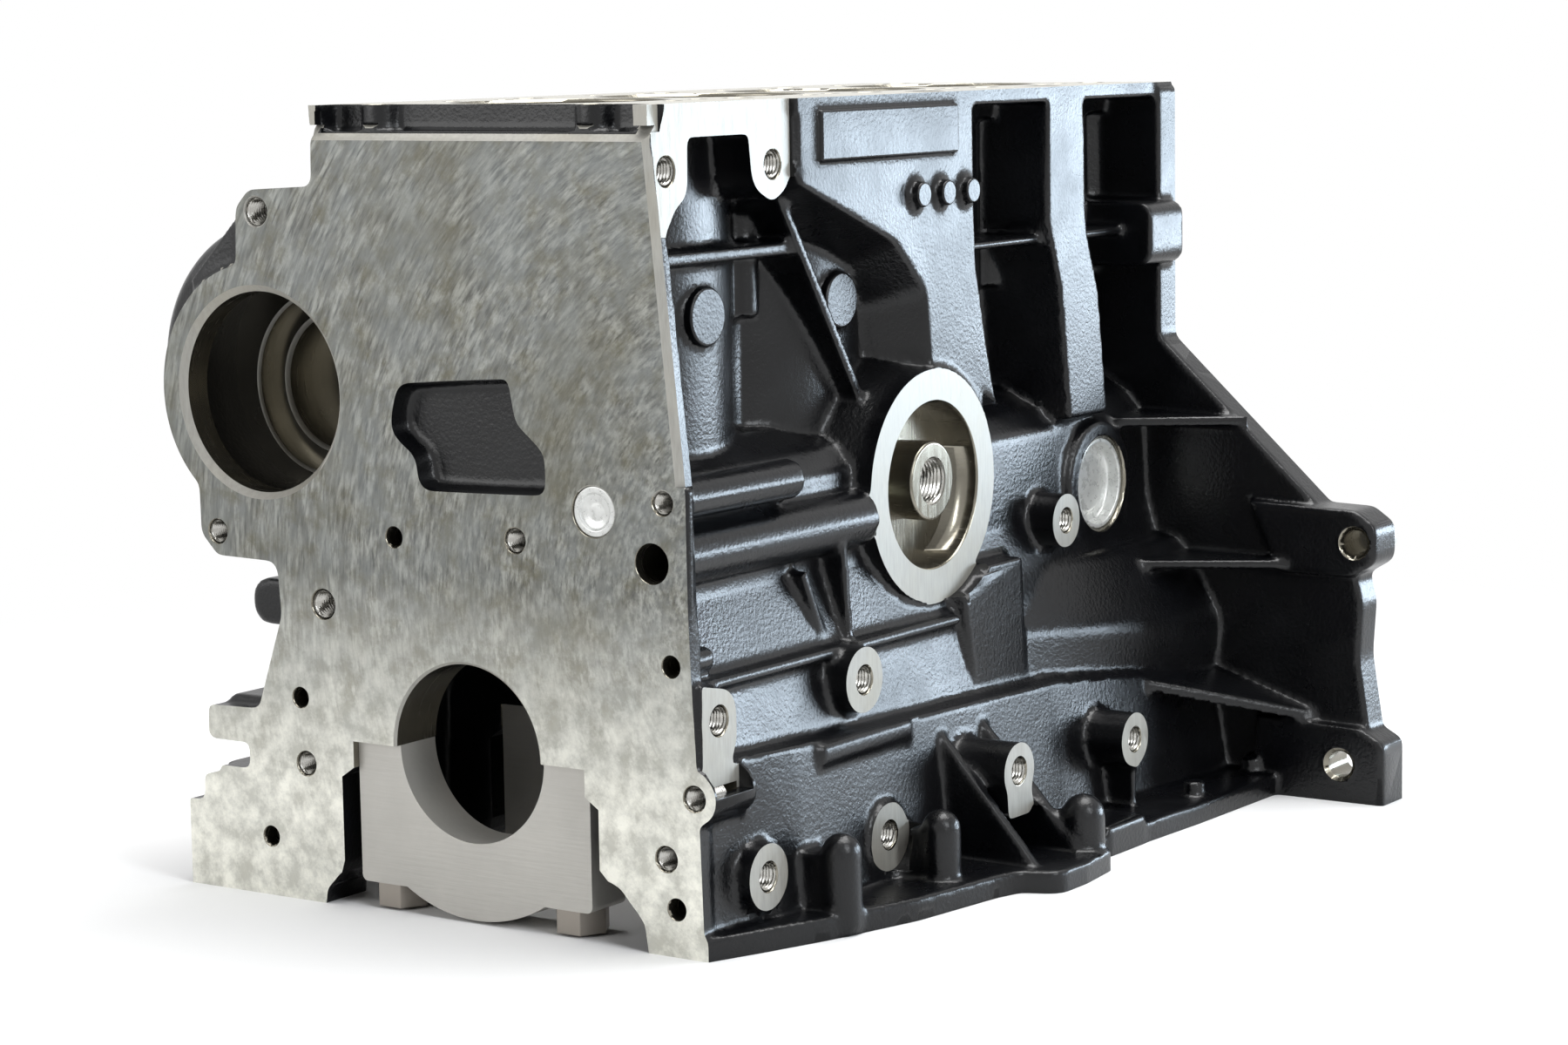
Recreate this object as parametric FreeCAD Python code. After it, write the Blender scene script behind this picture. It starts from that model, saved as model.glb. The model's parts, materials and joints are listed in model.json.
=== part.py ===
import FreeCAD, Part
import math
import os

# A bare four-cylinder in-line engine block of cast iron, with its main bearing caps bolted on.
# It is modelled about the crankshaft axis: that axis runs along +Y from the timing face at
# y = 0, +Z points to the cylinder head, +X to the side that carries the oil filter.
# At the end every piece moves together, so that the block stands on z = 0, centred in X and Y.

# ------------------------------------------------------------------ driving dimensions, mm
cylinder_count = 4
bore_diameter = 80.0
bore_spacing = 88.0
first_bore_y = 55.0
cylinder_offset = 8.0          # the bores stand off the crank axis, towards the filter
deck_height = 236.0            # crank axis to head face
rail_drop = 63.6               # crank axis to sump face
block_length = 374.0           # timing face to bell housing face

crank_bore_radius = 33.5
cap_half_width = 54.0
cap_shoulder_drop = 53.5
cap_belly_radius = 62.5
cap_thickness = 20.0
cap_set_back = 3.0             # end caps stand back from the end faces
cap_side_clearance = 0.05

bulkhead_thickness = 22.0
end_wall_thickness = 24.0
bay_half_width = 80.0          # crankcase bays, room for the crank throws
bay_top = 86.0

liner_wall = 6.5
jacket_width = 9.0
jacket_wall = 6.5
jacket_floor = 118.0
jacket_foot = 92.0
end_jacket_wall = 17.0
deck_thickness = 12.0
deck_left = 65.5               # deck edge on the pump side
deck_right = 90.0              # deck edge on the filter side
deck_rim = 6.0                 # depth of the plain rim under the deck

front_face_drop = 10.2         # the machined timing face ends below the deck
front_plate = 7.0
front_chamfer = 2.5
front_groove_depth = 13.0
front_groove_end = 81.0
front_post_radius = 7.5
front_deck_set_back = 1.0
foot_reach = 138.0             # the front foot of the sump rail, pump side
frame_face = 87.0              # accessory frame, filter side
frame_end = 88.5
frame_bolt_drop = 23.4         # below the deck
frame_bolt_rows = (11.5, 77.2)
frame_bolt_depth = 18.0

rail_thickness = 8.5
flange_thickness = 14.0
flange_hole_radius = 5.5
ear_thickness = 19.0

bolt_radius = 6.0
bolt_clearance = 0.1
cap_bolt_offset = 42.0
cap_bolt_head_radius = 10.4
cap_bolt_head_height = 9.3
cap_bolt_depth = 60.0          # thread above the parting face
head_bolt_half_pitch = 49.0
head_bolt_depth = 80.0

pump_x = -95.3
pump_z = 129.0
pump_bore_radius = 37.9
pump_ring_radius = 48.3
pump_rear_radius = 34.8
pump_seal_radius = 26.3

filter_y = 177.0
filter_z = 85.0
filter_face = 92.0
filter_outer_radius = 45.0
filter_inner_radius = 32.0
filter_thread_radius = 9.5

core_plug_y = 316.0
core_plug_z = 70.0
core_plug_radius = 19.0
core_boss_radius = 26.0
core_boss_face = 88.0
plug_clearance = 0.02
plug_sheet = 2.0
core_plug_depth = 9.0
side_core_plug_depth = 8.0
side_core_plug_radius = 18.0
side_core_plug_z = 165.0
gallery_x = 60.8
gallery_z = 93.3
gallery_radius = 7.0
gallery_plug_radius = 9.2
gallery_plug_length = 10.0
dowel_radius = 7.5
dowel_bore_radius = 5.5
dowel_length = 18.0
dowel_stand_out = 8.0

V = FreeCAD.Vector
bore_radius = bore_diameter / 2
front_face_top = deck_height - front_face_drop
bores = [first_bore_y + bore_spacing * i for i in range(cylinder_count)]
last_bore_y = bores[-1]
end_main_inset = cap_set_back + cap_thickness / 2
mains = ([end_main_inset]
         + [(a + b) / 2 for a, b in zip(bores, bores[1:])]
         + [block_length - end_main_inset])
jacket_outer_radius = bore_radius + liner_wall + jacket_width + jacket_wall
plug_face = cylinder_offset - jacket_outer_radius - 4
head_bolt_rows = ([first_bore_y - bore_spacing / 2]
                  + [(a + b) / 2 for a, b in zip(bores, bores[1:])]
                  + [last_bore_y + bore_spacing / 2])


# ------------------------------------------------------------------ drawing helpers
def at(plane, u, v, level):
    """A point of a flat drawing: plane xz is seen along Y, yz along X, xy along Z."""
    if plane == "xz":
        return V(u, level, v)
    if plane == "yz":
        return V(level, u, v)
    return V(u, v, level)


def outline(plane, points, level):
    """A closed wire through the points; a third number on a point rounds that corner."""
    count = len(points)
    entries = []
    for i, point in enumerate(points):
        corner = at(plane, point[0], point[1], level)
        radius = point[2] if len(point) > 2 else 0
        if not radius:
            entries.append((corner, None, corner))
            continue
        before = at(plane, points[i - 1][0], points[i - 1][1], level) - corner
        after_point = points[(i + 1) % count]
        after = at(plane, after_point[0], after_point[1], level) - corner
        before.normalize()
        after.normalize()
        half = before.getAngle(after) / 2
        reach = radius / math.tan(half)
        middle = before + after
        middle.normalize()
        mid_point = corner + middle * (radius / math.sin(half) - radius)
        entries.append((corner + before * reach, mid_point, corner + after * reach))
    edges = []
    for i, (start, middle, end) in enumerate(entries):
        if middle is not None:
            edges.append(Part.Arc(start, middle, end).toShape())
        next_start = entries[(i + 1) % count][0]
        if end.distanceToPoint(next_start) > 1e-6:
            edges.append(Part.makeLine(end, next_start))
    return Part.Wire(edges)


def prism(plane, points, start, end):
    """The drawing pushed from one level to another along its own normal."""
    push = at(plane, 0, 0, end - start)
    return Part.Face(outline(plane, points, start)).extrude(push)


def taper(plane, start_points, start, end_points, end):
    """A solid between two like drawings at two levels, for drafted walls."""
    wires = [outline(plane, start_points, start), outline(plane, end_points, end)]
    return Part.makeLoft(wires, True, True)


def rod(plane, u, v, radius, start, end):
    """A round bar square to the plane."""
    low, high = min(start, end), max(start, end)
    return Part.makeCylinder(radius, high - low, at(plane, u, v, low), at(plane, 0, 0, 1))


def cone(plane, u, v, start_radius, start, end_radius, end):
    """A tapered bar square to the plane; start lies below end."""
    return Part.makeCone(start_radius, end_radius, end - start, at(plane, u, v, start),
                         at(plane, 0, 0, 1))


def block(x0, x1, y0, y1, z0, z1):
    return Part.makeBox(x1 - x0, y1 - y0, z1 - z0, V(x0, y0, z0))


def slot(plane, u0, v0, u1, v1, width, start, end):
    """A straight rib or slot between two points of the plane, with square ends."""
    along = FreeCAD.Vector(u1 - u0, v1 - v0, 0)
    along.normalize()
    side_u, side_v = -along.y * width / 2, along.x * width / 2
    points = [(u0 + side_u, v0 + side_v), (u1 + side_u, v1 + side_v),
              (u1 - side_u, v1 - side_v), (u0 - side_u, v0 - side_v)]
    return prism(plane, points, start, end)


def joined(shapes):
    return shapes[0].fuse(shapes[1:]) if len(shapes) > 1 else shapes[0]


# ------------------------------------------------------------------ the casting's outside
def front_plate_solid():
    """The machined timing face with its ears, pump ring, slotted lug and foot."""
    points = [(-deck_left, front_face_top), (-66, 206.4, 3), (-97, 204.8, 6), (-103.5, 198, 5),
              (-105, 150), (-140, 129), (-127, 92, 4), (-126.7, 74, 5), (-118.8, 66, 4),
              (-88.9, 65.4, 5), (-87.5, 45), (-97.5, 17), (-100.5, 8.3, 3), (-126.4, 7.6, 1.5),
              (-126.8, -4, 3), (-121, -8), (-121, -18), (-129.8, -20), (-130, -30),
              (-foot_reach, -30.2), (-foot_reach, -rail_drop), (105.6, -rail_drop),
              (104.4, -20, 3), (102.6, 16, 5), (99.2, 104), (87.4, front_face_top)]
    plate = prism("xz", points, 0, front_plate)
    plate = plate.cut(edge_chamfers(points[-2], points[-1]))
    lug = prism("xz", [(-80, 11.5), (-120, 11.5, 6), (-130, 0, 6), (-124, -8), (-124, -18),
                       (-80, -20)], front_plate - 1, 34)
    lug = lug.cut(block(-140, -106, -1, 26, -15.5, -5.5))
    foot = prism("xz", [(-80, -20), (-128, -20), (-foot_reach, -33, 3), (-foot_reach, -rail_drop),
                        (-80, -rail_drop)], front_plate - 1, 30)
    plate = plate.cut(block(-140, -106, -1, 26, -15.5, -5.5))
    ring = rod("xz", pump_x, pump_z, pump_ring_radius, 0, front_plate + 6)
    bump = rod("xz", 102.2, -5.7, 9.3, 0, 26)
    side_boss = prism("xz", [(-80, 56), (-115, 56, 8), (-115, 38, 8), (-80, 38)], 14, 46)
    return plate.fuse([lug, foot, ring, bump, side_boss])


def edge_chamfers(low_corner, high_corner):
    """Wedges for the chamfer on the top and on the filter side of the timing face."""
    cut = front_chamfer
    over = prism("yz", [(-1, front_face_top - cut - 1), (-1, front_face_top + 1),
                        (cut + 1, front_face_top + 1)], -deck_left - 1, high_corner[0] + 1)
    x, z = low_corner
    wedge = outline("xy", [(x - cut - 1, -1), (x + 1, -1), (x + 1, cut + 1)], z)
    side = Part.Face(wedge).extrude(V(high_corner[0] - x, 0, high_corner[1] - z))
    return [over, side]


def upper_body():
    """The water jacket's outer walls, round each bore and closed between bores."""
    walls = [rod("xy", cylinder_offset, y, jacket_outer_radius, jacket_foot, deck_height)
             for y in bores]
    half = bore_radius + liner_wall
    core = block(cylinder_offset - half, cylinder_offset + half, 1, block_length - 1,
                 jacket_foot, deck_height)
    front = block(-deck_left, cylinder_offset + jacket_outer_radius - 4, front_chamfer + 0.5,
                  first_bore_y,
                  jacket_foot, front_face_top)
    ends = block(-200, 200, 1, block_length - 1, 0, 300)
    return joined(walls + [core, front]).common(ends)


def deck_plate():
    """The deck, and its thin rim that overhangs the filter side."""
    top = block(-deck_left, 66, front_deck_set_back, block_length,
                deck_height - deck_thickness, deck_height)
    rim = block(60, deck_right, frame_end, block_length, deck_height - deck_rim, deck_height)
    corner = block(-deck_left - 1.5, -deck_left + 2, front_deck_set_back, 40, front_face_top,
                   deck_height)
    return joined([top, rim, corner])


def crankcase():
    """The crankcase walls, from the sump rail to the foot of the jacket."""
    end = block_length - flange_thickness + 2
    upper = prism("xz", [(-92, -10), (-92, 20), (-84, 62, 10), (-60, 100, 8), (-50, 112),
                         (62, 112), (76, 104, 5), (83, 96, 4), (85, 60, 6), (93, 32),
                         (98, 4), (98, -10)], 4, end)
    lower_foot = [(-100, 2), (104, 2), (107, 24), (113, 58, 10), (114, 150, 12),
                  (116, 240), (122, 300), (126, end), (-104, end), (-100, end - 60)]
    lower_top = [(-92, 2), (102, 2), (103, 24), (105, 58, 10), (106, 150, 12),
                 (107, 240), (110, 300), (113, end), (-92, end), (-92, end - 60)]
    lower = taper("xy", lower_foot, -rail_drop, lower_top, 6)
    shoulder = prism("yz", [(-5, 12), (-5, 6), (80, 3), (246, -1), (304, -7), (end + 5, -10),
                            (end + 5, 12)], 98, 140)
    barrel = taper("xz", [(60, 45), (86, 43, 8), (97, 18, 14), (99, -14, 3), (60, -16)], 236,
                   [(60, 50), (102, 42, 10), (122, 8, 20), (116, -30, 10), (60, -32)], end)
    return joined([upper, lower.cut(shoulder), barrel])


def sump_rail():
    """The flange that the sump bolts to, as wide as the casting needs all round."""
    points = [(-foot_reach, 0), (105.8, 0), (115, 19, 20), (126, 48, 20), (138, 89, 30),
              (144.5, 134, 4), (148, 146, 4), (162, 152, 8), (162, 172, 10), (159, 197, 5),
              (147, 204, 4), (146, 219, 3), (149, 286, 30), (150, block_length - 4),
              (150, block_length), (-128, block_length), (-124, 330, 10), (-112, 300, 10),
              (-112, 66, 10), (-124, 40, 8), (-foot_reach, 30, 4)]
    flange = prism("xy", points, -rail_drop, -rail_drop + rail_thickness)
    step = block(120, 147.5, 215, 246, -rail_drop, -rail_drop + 12)
    return flange.fuse(step)


def bell_housing_flange():
    """The flange at the flywheel end with its four ears."""
    low = block_length - flange_thickness
    plate = prism("xz", [(-deck_left, deck_height - 2), (92, deck_height - 2), (92, 128, 6),
                         (166, 60, 6), (180, 46), (187, 20, 12), (185.4, -2.6, 30),
                         (190, -32, 10), (192, -rail_drop), (-170, -rail_drop), (-168, -30, 10),
                         (-162, 0, 30), (-166, 34, 12), (-146, 60, 6), (-78, 128, 8),
                         (-deck_left, 150, 6)], low, block_length)
    ears = []
    low = block_length - ear_thickness
    ears.append(prism("xz", [(136, 61), (185.5, 59.5, 7), (195, 53, 6), (195, 38, 6),
                             (184, 31.5, 4), (150, 31.5)], low, block_length))
    ears.append(prism("xz", [(140, -30), (188, -32, 3), (199, -38, 4), (199, -rail_drop),
                             (138, -rail_drop)], low, block_length))
    ears.append(prism("xz", [(-124, 63), (-165, 60, 7), (-175, 53, 6), (-175, 36, 6),
                             (-126, 31)], low, block_length))
    ears.append(prism("xz", [(-130, -30), (-168, -32, 4), (-175, -38, 4),
                             (-175, -rail_drop), (-130, -rail_drop)], low, block_length))
    return joined([plate] + ears)


def pump_housing():
    """The volute behind the pump ring, cast with the block."""
    scroll = rod("xz", pump_x - 1, pump_z + 8, 56, 6, 46)
    scroll = scroll.makeFillet(9, [e for e in scroll.Edges if e.Closed and e.Length > 300])
    neck = prism("xz", [(-60, 204), (-100, 200, 10), (-130, 170), (-120, 90), (-60, 82)], 2, 42)
    seat = rod("xz", pump_x, pump_z, pump_rear_radius + 9, 40, 68)
    outlet = prism("xz", [(-60, 166), (-96, 166), (-96, 92), (-60, 92)], 40, 68)
    return joined([scroll, neck, seat, outlet])


def breather_column():
    """The flat-faced oil and breather channel beside bores two and three."""
    top = deck_height - deck_rim + 2
    face = [(90, top), (90, 205, 5), (155, 180, 14), (176, 160, 12), (183, 104),
            (246, 103, 8), (228, 112, 8), (221, 136, 8), (213, 170, 10), (212, top)]
    foot = [(88, top), (88, 196, 5), (142, 168, 14), (158, 152, 12), (164, 100),
            (252, 99, 8), (232, 108, 8), (227, 134, 8), (219, 168, 10), (218, top)]
    return taper("yz", foot, 58, face, deck_right)


def drain_column():
    """The narrow oil drain channel beside bores three and four."""
    top = deck_height - deck_rim + 2
    face = [(271, top), (270, 182, 10), (280, 154, 10), (287, 100), (318, 100), (311, 151, 10),
            (301, 178, 10), (299, top)]
    foot = [(266, top), (265, 180, 10), (274, 152, 10), (280, 96), (326, 96), (318, 148, 10),
            (308, 176, 10), (306, top)]
    return taper("yz", foot, 50, face, deck_right)


def accessory_frame():
    """The machined frame high on the filter side, at the timing end."""
    under = deck_height - deck_thickness
    bolt_z = deck_height - frame_bolt_drop
    near, far = frame_bolt_rows
    top = block(50, frame_face, front_deck_set_back, frame_end, under, deck_height)
    leg = prism("yz", [(front_plate - 3, under + 2), (near + 13, under + 2),
                       (near + 12.5, bolt_z - 8.6, 8), (near + 5, bolt_z - 13.6, 6),
                       (near - 1, bolt_z - 22, 5), (near - 3, bolt_z - 72), (front_plate - 3, 100)],
                50, frame_face)
    far_leg = prism("yz", [(far - 15.5, under + 2), (frame_end, under + 2),
                           (frame_end, bolt_z - 7.6, 11), (far - 0.5, bolt_z - 13.6, 6),
                           (far - 13, bolt_z - 7.6, 11)], 50, frame_face)
    shelf = block(50, 76, 8, 106, 178, 183)
    web = slot("yz", 92, 204, 146, 122, 4.5, 50, 79)
    return joined([top, leg, far_leg, shelf, web])


def gallery_bulges():
    """Oil ways cast as round bars on the filter side."""
    main_way = rod("xz", 86, 77, 10.5, 2, 132)
    bolt_boss = rod("xz", 90.5, 98.1, 7.5, 2, 80)
    low_channel = taper("yz", [(182, 50), (192, -4), (243, -5), (240, 50)], 80,
                        [(187, 50), (197, -3), (237, -4), (233, 50)], 98.5)
    return joined([main_way, bolt_boss, low_channel])


def bolt_bosses():
    """Threaded bosses of the filter side: y, z, radius, face, thread radius."""
    return [(12, 20.5, 10.5, 105, 5.0), (106, 20.5, 12.5, 105, 5.0), (31, -38.5, 12.2, 112, 5.0),
            (111, -38.5, 12.2, 112, 5.0), (170, -22.5, 11.2, 133.5, 5.0),
            (268, -27, 11.0, 130, 4.6), (269, 60.5, 11.0, 98, 4.6)]


def side_bosses():
    """Round bosses and flanges that stand out of the filter side."""
    bosses = [rod("yz", y, z, radius, 70, face) for y, z, radius, face, thread in bolt_bosses()]
    bosses.append(cone("yz", filter_y, filter_z, filter_outer_radius + 8, 60,
                       filter_outer_radius, filter_face - 5))
    bosses.append(rod("yz", filter_y, filter_z, filter_outer_radius, 60, filter_face))
    bosses.append(cone("yz", core_plug_y, core_plug_z, core_boss_radius + 5, 60,
                       core_boss_radius, core_boss_face))
    keyhole = prism("yz", [(2, -4), (14, -4), (18.5, 4), (22.5, 12, 10), (22.5, 30, 10), (2, 34)],
                    80, 105)
    tail = prism("yz", [(160.5, -24), (162, -40, 2), (179, -40, 2), (179.5, -24)], 100, 133.5)
    strut = block(100, 129, 268, 272, -rail_drop + 2, -27)
    return joined(bosses + [keyhole, tail, strut])


def side_ribs():
    """Long ribs, gussets and domes of the filter side."""
    inner_face = block_length - flange_thickness + 1
    ribs = [
        slot("yz", 6, 31.5, 186, 31.5, 4, 80, 98),
        slot("yz", 109, 74, 113, 32, 4, 70, 95),
        slot("yz", 87, 62, 101, 33, 4, 70, 92),
        block(80, 109, 72, 134, -6, 1.5),
        slot("yz", 212, 174.5, 272, 174.5, 3.5, 50, 85),
        slot("yz", 300, 174.5, 350, 174.5, 3.5, 50, 85),
        prism("xz", [(50, 187), (99, 186, 6), (99, 160, 6), (50, 159)], 340, inner_face + 8),
        prism("xy", [(70, 330), (88, 333), (134, inner_face), (70, inner_face)], 92, 96),
        prism("xy", [(80, 310), (96, 322), (167, inner_face), (80, inner_face)], 33, 37),
        taper("xy", [(90, 296), (108, 300), (168, inner_face), (90, inner_face)], -35,
              [(90, 292), (104, 296), (164, inner_face), (90, inner_face)], -9),
    ]
    ribs[-1] = ribs[-1].cut(prism("xz", [(80, -4), (104, -12), (175, -35), (175, -60), (80, -60)],
                                  280, block_length))
    ribs[-1] = ribs[-1].cut(prism("xz", [(80, 5), (80, -1), (104, -7), (175, -30), (175, 5)],
                                  280, block_length))
    for x, y, radius, top in ((124, 60, 7.5, -34), (129, 120, 7.5, -36), (149, 192, 8.5, -42)):
        dome = rod("xy", x, y, radius, -rail_drop + 1, top)
        cap = Part.makeSphere(radius, V(x, y, top))
        ribs += [dome, cap, block(100, x, y - radius + 1, y + radius - 1, -rail_drop + 1, top)]
    for y, reach in ((155, 150), (185, 153)):
        ribs.append(prism("xz", [(100, -5), (108, -7), (reach, -54), (reach, -rail_drop + 2),
                                 (100, -rail_drop + 2)], y - 2.5, y + 2.5))
    return joined(ribs)


def pump_side_features():
    """Plug bosses, ribs and mounts of the side away from the filter."""
    parts = []
    for y in plug_spots():
        parts.append(rod("yz", y, side_core_plug_z, side_core_plug_radius + 6,
                         plug_face, cylinder_offset - 44))
    for y in mains[1:4]:
        parts.append(prism("xz", [(-84, 62), (-92, 16), (-96, 4), (-60, 4), (-50, 104)],
                           y - 4, y + 4))
    rib = block(-98, -60, 10, block_length - 10, 14, 19)
    parts.append(rib)
    for y, z in ((142, 46), (230, 46), (142, 0), (230, 0)):
        parts.append(rod("yz", y, z, 11, -102, -60))
    for y in head_bolt_rows[1:-1]:
        parts.append(rod("xy", cylinder_offset - head_bolt_half_pitch - 4, y, 10, 112,
                         deck_height - 2))
    return joined(parts)


# ------------------------------------------------------------------ what is cut from it
def crankcase_bays():
    """The open bays between bulkheads, with a round roof that clears the throws."""
    half = bay_half_width
    edges = [end_wall_thickness]
    for y in mains[1:-1]:
        edges += [y - bulkhead_thickness / 2, y + bulkhead_thickness / 2]
    edges.append(block_length - end_wall_thickness)
    bays = []
    for start, end in zip(edges[::2], edges[1::2]):
        section = [(-half - 4, -rail_drop - 5), (-half, 6, 20), (-52, 64, 24), (-34, bay_top, 10),
                   (46, bay_top, 10), (66, 64, 20), (half + 4, 10, 20), (half + 10, -rail_drop - 5)]
        bays.append(prism("xz", section, start, end))
    return bays


def cap_tunnel():
    """The seats of the caps: open below the parting face, with register walls."""
    seat = cap_half_width + cap_side_clearance
    section = [(-seat, 0), (-seat, -10), (-60, -14), (-60, -49, 6), (-69, -58, 3),
               (-71, -rail_drop - 5), (82, -rail_drop - 5), (79.5, -53, 4), (69, -41.5, 3),
               (60, -38, 3), (60, -14), (seat, -10), (seat, 0)]
    return prism("xz", section, -1, block_length + 1)


def water_jacket():
    """The coolant space round the four liners, closed by the deck."""
    top = deck_height - deck_thickness
    outer = bore_radius + liner_wall + jacket_width
    inner = bore_radius + liner_wall
    space = joined([rod("xy", cylinder_offset, y, outer, jacket_floor, top) for y in bores])
    space = space.cut([rod("xy", cylinder_offset, y, inner, jacket_floor - 1, top + 1)
                       for y in bores])
    width = 2 * outer
    return space.common(block(cylinder_offset - width, cylinder_offset + width, end_jacket_wall,
                              block_length - end_jacket_wall, 0, deck_height))


def front_recesses():
    """The groove under the deck's front edge and the cast pocket in the timing face."""
    groove = block(-deck_left + 2, front_groove_end, -1, front_groove_depth, front_face_top,
                   deck_height + 1)
    posts = [rod("xy", cylinder_offset + side * head_bolt_half_pitch, head_bolt_rows[0] + 1,
                 front_post_radius, front_face_top - 1, deck_height + 1) for side in (-1, 1)]
    groove = groove.cut(posts)
    mouth = [(-32, 121, 9), (-28, 136, 7), (24.5, 139.7, 2), (27.5, 123.5, 10), (40.3, 113, 6),
             (40.4, 97, 3), (-19, 95.6, 6), (-20.5, 108, 10), (-30.5, 115.5, 6)]
    floor = [(-29.5, 121, 7), (-26, 133.5, 6), (22.3, 137.2, 2), (25.3, 122.5, 8), (37.8, 111.8, 5),
             (37.9, 99.3, 3), (-16.5, 98, 5), (-18, 109.5, 8), (-28, 117, 5)]
    return [groove, taper("xz", mouth, -0.5, floor, 8)]


def pump_bore():
    """The pump's front bore, the cast volute behind it and the stepped rear seat."""
    return [rod("xz", pump_x, pump_z, pump_bore_radius, -1, 13),
            cone("xz", pump_x, pump_z, pump_bore_radius + 2.5, -1, pump_bore_radius, 1.5),
            rod("xz", pump_x - 1, pump_z + 4, 46, 12, 39),
            rod("xz", pump_x, pump_z, pump_rear_radius, 38, 46),
            rod("xz", pump_x, pump_z, pump_seal_radius, 45, 60)]


def blind(plane, u, v, radius, mouth, depth):
    """A drilled hole; depth is signed and runs inwards from the mouth."""
    sign = 1 if depth > 0 else -1
    return rod(plane, u, v, radius, mouth - sign, mouth + depth)


def timing_face_holes():
    small, medium, large = 3.4, 4.2, 5.2
    holes = [(-93.7, 196.7, large, 24), (-118.4, 75.1, medium, 22), (-31.3, 78.3, small, 20),
             (25.2, 80.7, medium, 20), (-66.6, 50.8, large, 24), (-79.4, 14.3, small, 20),
             (-77.5, -10.8, medium, 20), (-96.4, -40.8, small, 20), (90.9, 98.1, small + 0.6, 24),
             (93.2, 40.5, small, 20), (102.2, -5.7, medium, 22), (89.6, -28.6, medium, 22),
             (93.7, -46.3, small, 20)]
    return ([blind("xz", x, z, r, 0, d) for x, z, r, d in holes]
            + [rod("xz", 85.8, 76.4, 6.8, -1, 120)])


def side_holes():
    holes = [blind("yz", y, z, thread, face, -22)
             for y, z, radius, face, thread in bolt_bosses()]
    holes += [blind("yz", y, deck_height - frame_bolt_drop, 5.0, frame_face, -frame_bolt_depth)
              for y in frame_bolt_rows]
    well = rod("yz", filter_y, filter_z, filter_inner_radius, filter_face - 14, filter_face + 1)
    hub = rod("yz", filter_y, filter_z + 1.5, 15.5, filter_face - 15, filter_face - 0.5)
    thread_hole = blind("yz", filter_y, filter_z + 1.5, filter_thread_radius, filter_face - 0.5,
                        -28)
    return [well.cut(hub), thread_hole] + holes


def head_bolt_holes():
    holes = []
    for y in head_bolt_rows:
        for side in (-1, 1):
            x = cylinder_offset + side * head_bolt_half_pitch
            holes.append(blind("xy", x, y, bolt_radius - 0.5, deck_height, -head_bolt_depth))
    return holes


def coolant_holes():
    """Transfer holes from the jacket through the deck, beside each bore."""
    reach = bore_radius + liner_wall + jacket_width / 2
    holes = []
    for y in bores:
        for angle in (0, 180, 28, 152):
            x = cylinder_offset + reach * math.cos(math.radians(angle))
            holes.append(rod("xy", x, y + reach * math.sin(math.radians(angle)), 3.5,
                             deck_height - deck_thickness - 1, deck_height + 1))
    return holes


def drains():
    """Oil ways down the two columns, open in the deck and in the crankcase roof."""
    wide = prism("xy", [(66, 196, 5), (82, 196, 5), (82, 208, 5), (66, 208, 5)],
                 60, deck_height + 1)
    narrow = prism("xy", [(66, 289, 3), (82, 289, 3), (82, 297, 3), (66, 297, 3)],
                   60, deck_height + 1)
    return [wide, narrow]


def cap_bolt_holes():
    holes = []
    for y in mains:
        for side in (-1, 1):
            holes.append(blind("xy", side * cap_bolt_offset, y, bolt_radius, 0, cap_bolt_depth + 6))
    return holes


def flange_holes():
    low = block_length - ear_thickness - 20
    spots = dowel_spots() + [(179, -47.8), (-156, -48)]
    holes = [rod("xz", x, z, flange_hole_radius, low, block_length + 1) for x, z in spots]
    for x, z in dowel_spots():
        holes.append(rod("xz", x, z, dowel_radius, block_length - dowel_length + dowel_stand_out,
                         block_length + 1))
    return holes


def rail_holes():
    spots = [(-122, 14)] + [(-104, y) for y in (80, 140, 200, 260, 316)]
    spots += [(124, 60), (127, 120), (140, 300), (138, 356), (-112, 356)]
    return [rod("xy", x, y, 3.4, -rail_drop - 1, -rail_drop + 14) for x, y in spots]


def plug_seats():
    seats = [rod("yz", core_plug_y, core_plug_z, core_plug_radius,
                 core_boss_face - core_plug_depth, core_boss_face + 1),
             rod("yz", core_plug_y, core_plug_z, core_plug_radius - 4, core_boss_face - 22,
                 core_boss_face - core_plug_depth + 1),
             rod("xz", gallery_x, gallery_z, gallery_radius, -1, block_length + 1),
             rod("xz", gallery_x, gallery_z, gallery_plug_radius, -1, gallery_plug_length),
             rod("xz", gallery_x, gallery_z, gallery_plug_radius,
                 block_length - gallery_plug_length, block_length + 1)]
    for y in plug_spots():
        seats.append(rod("yz", y, side_core_plug_z, side_core_plug_radius, plug_face - 1,
                         plug_face + side_core_plug_depth))
        seats.append(rod("yz", y, side_core_plug_z, side_core_plug_radius - 3,
                         plug_face + side_core_plug_depth - 1, cylinder_offset - 50))
    return seats


def plug_spots():
    """Core plugs sit beside the bores, between the head bolt columns."""
    return bores[1:]


def dowel_spots():
    return [(185.5, 46), (-162, 46)]


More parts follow.
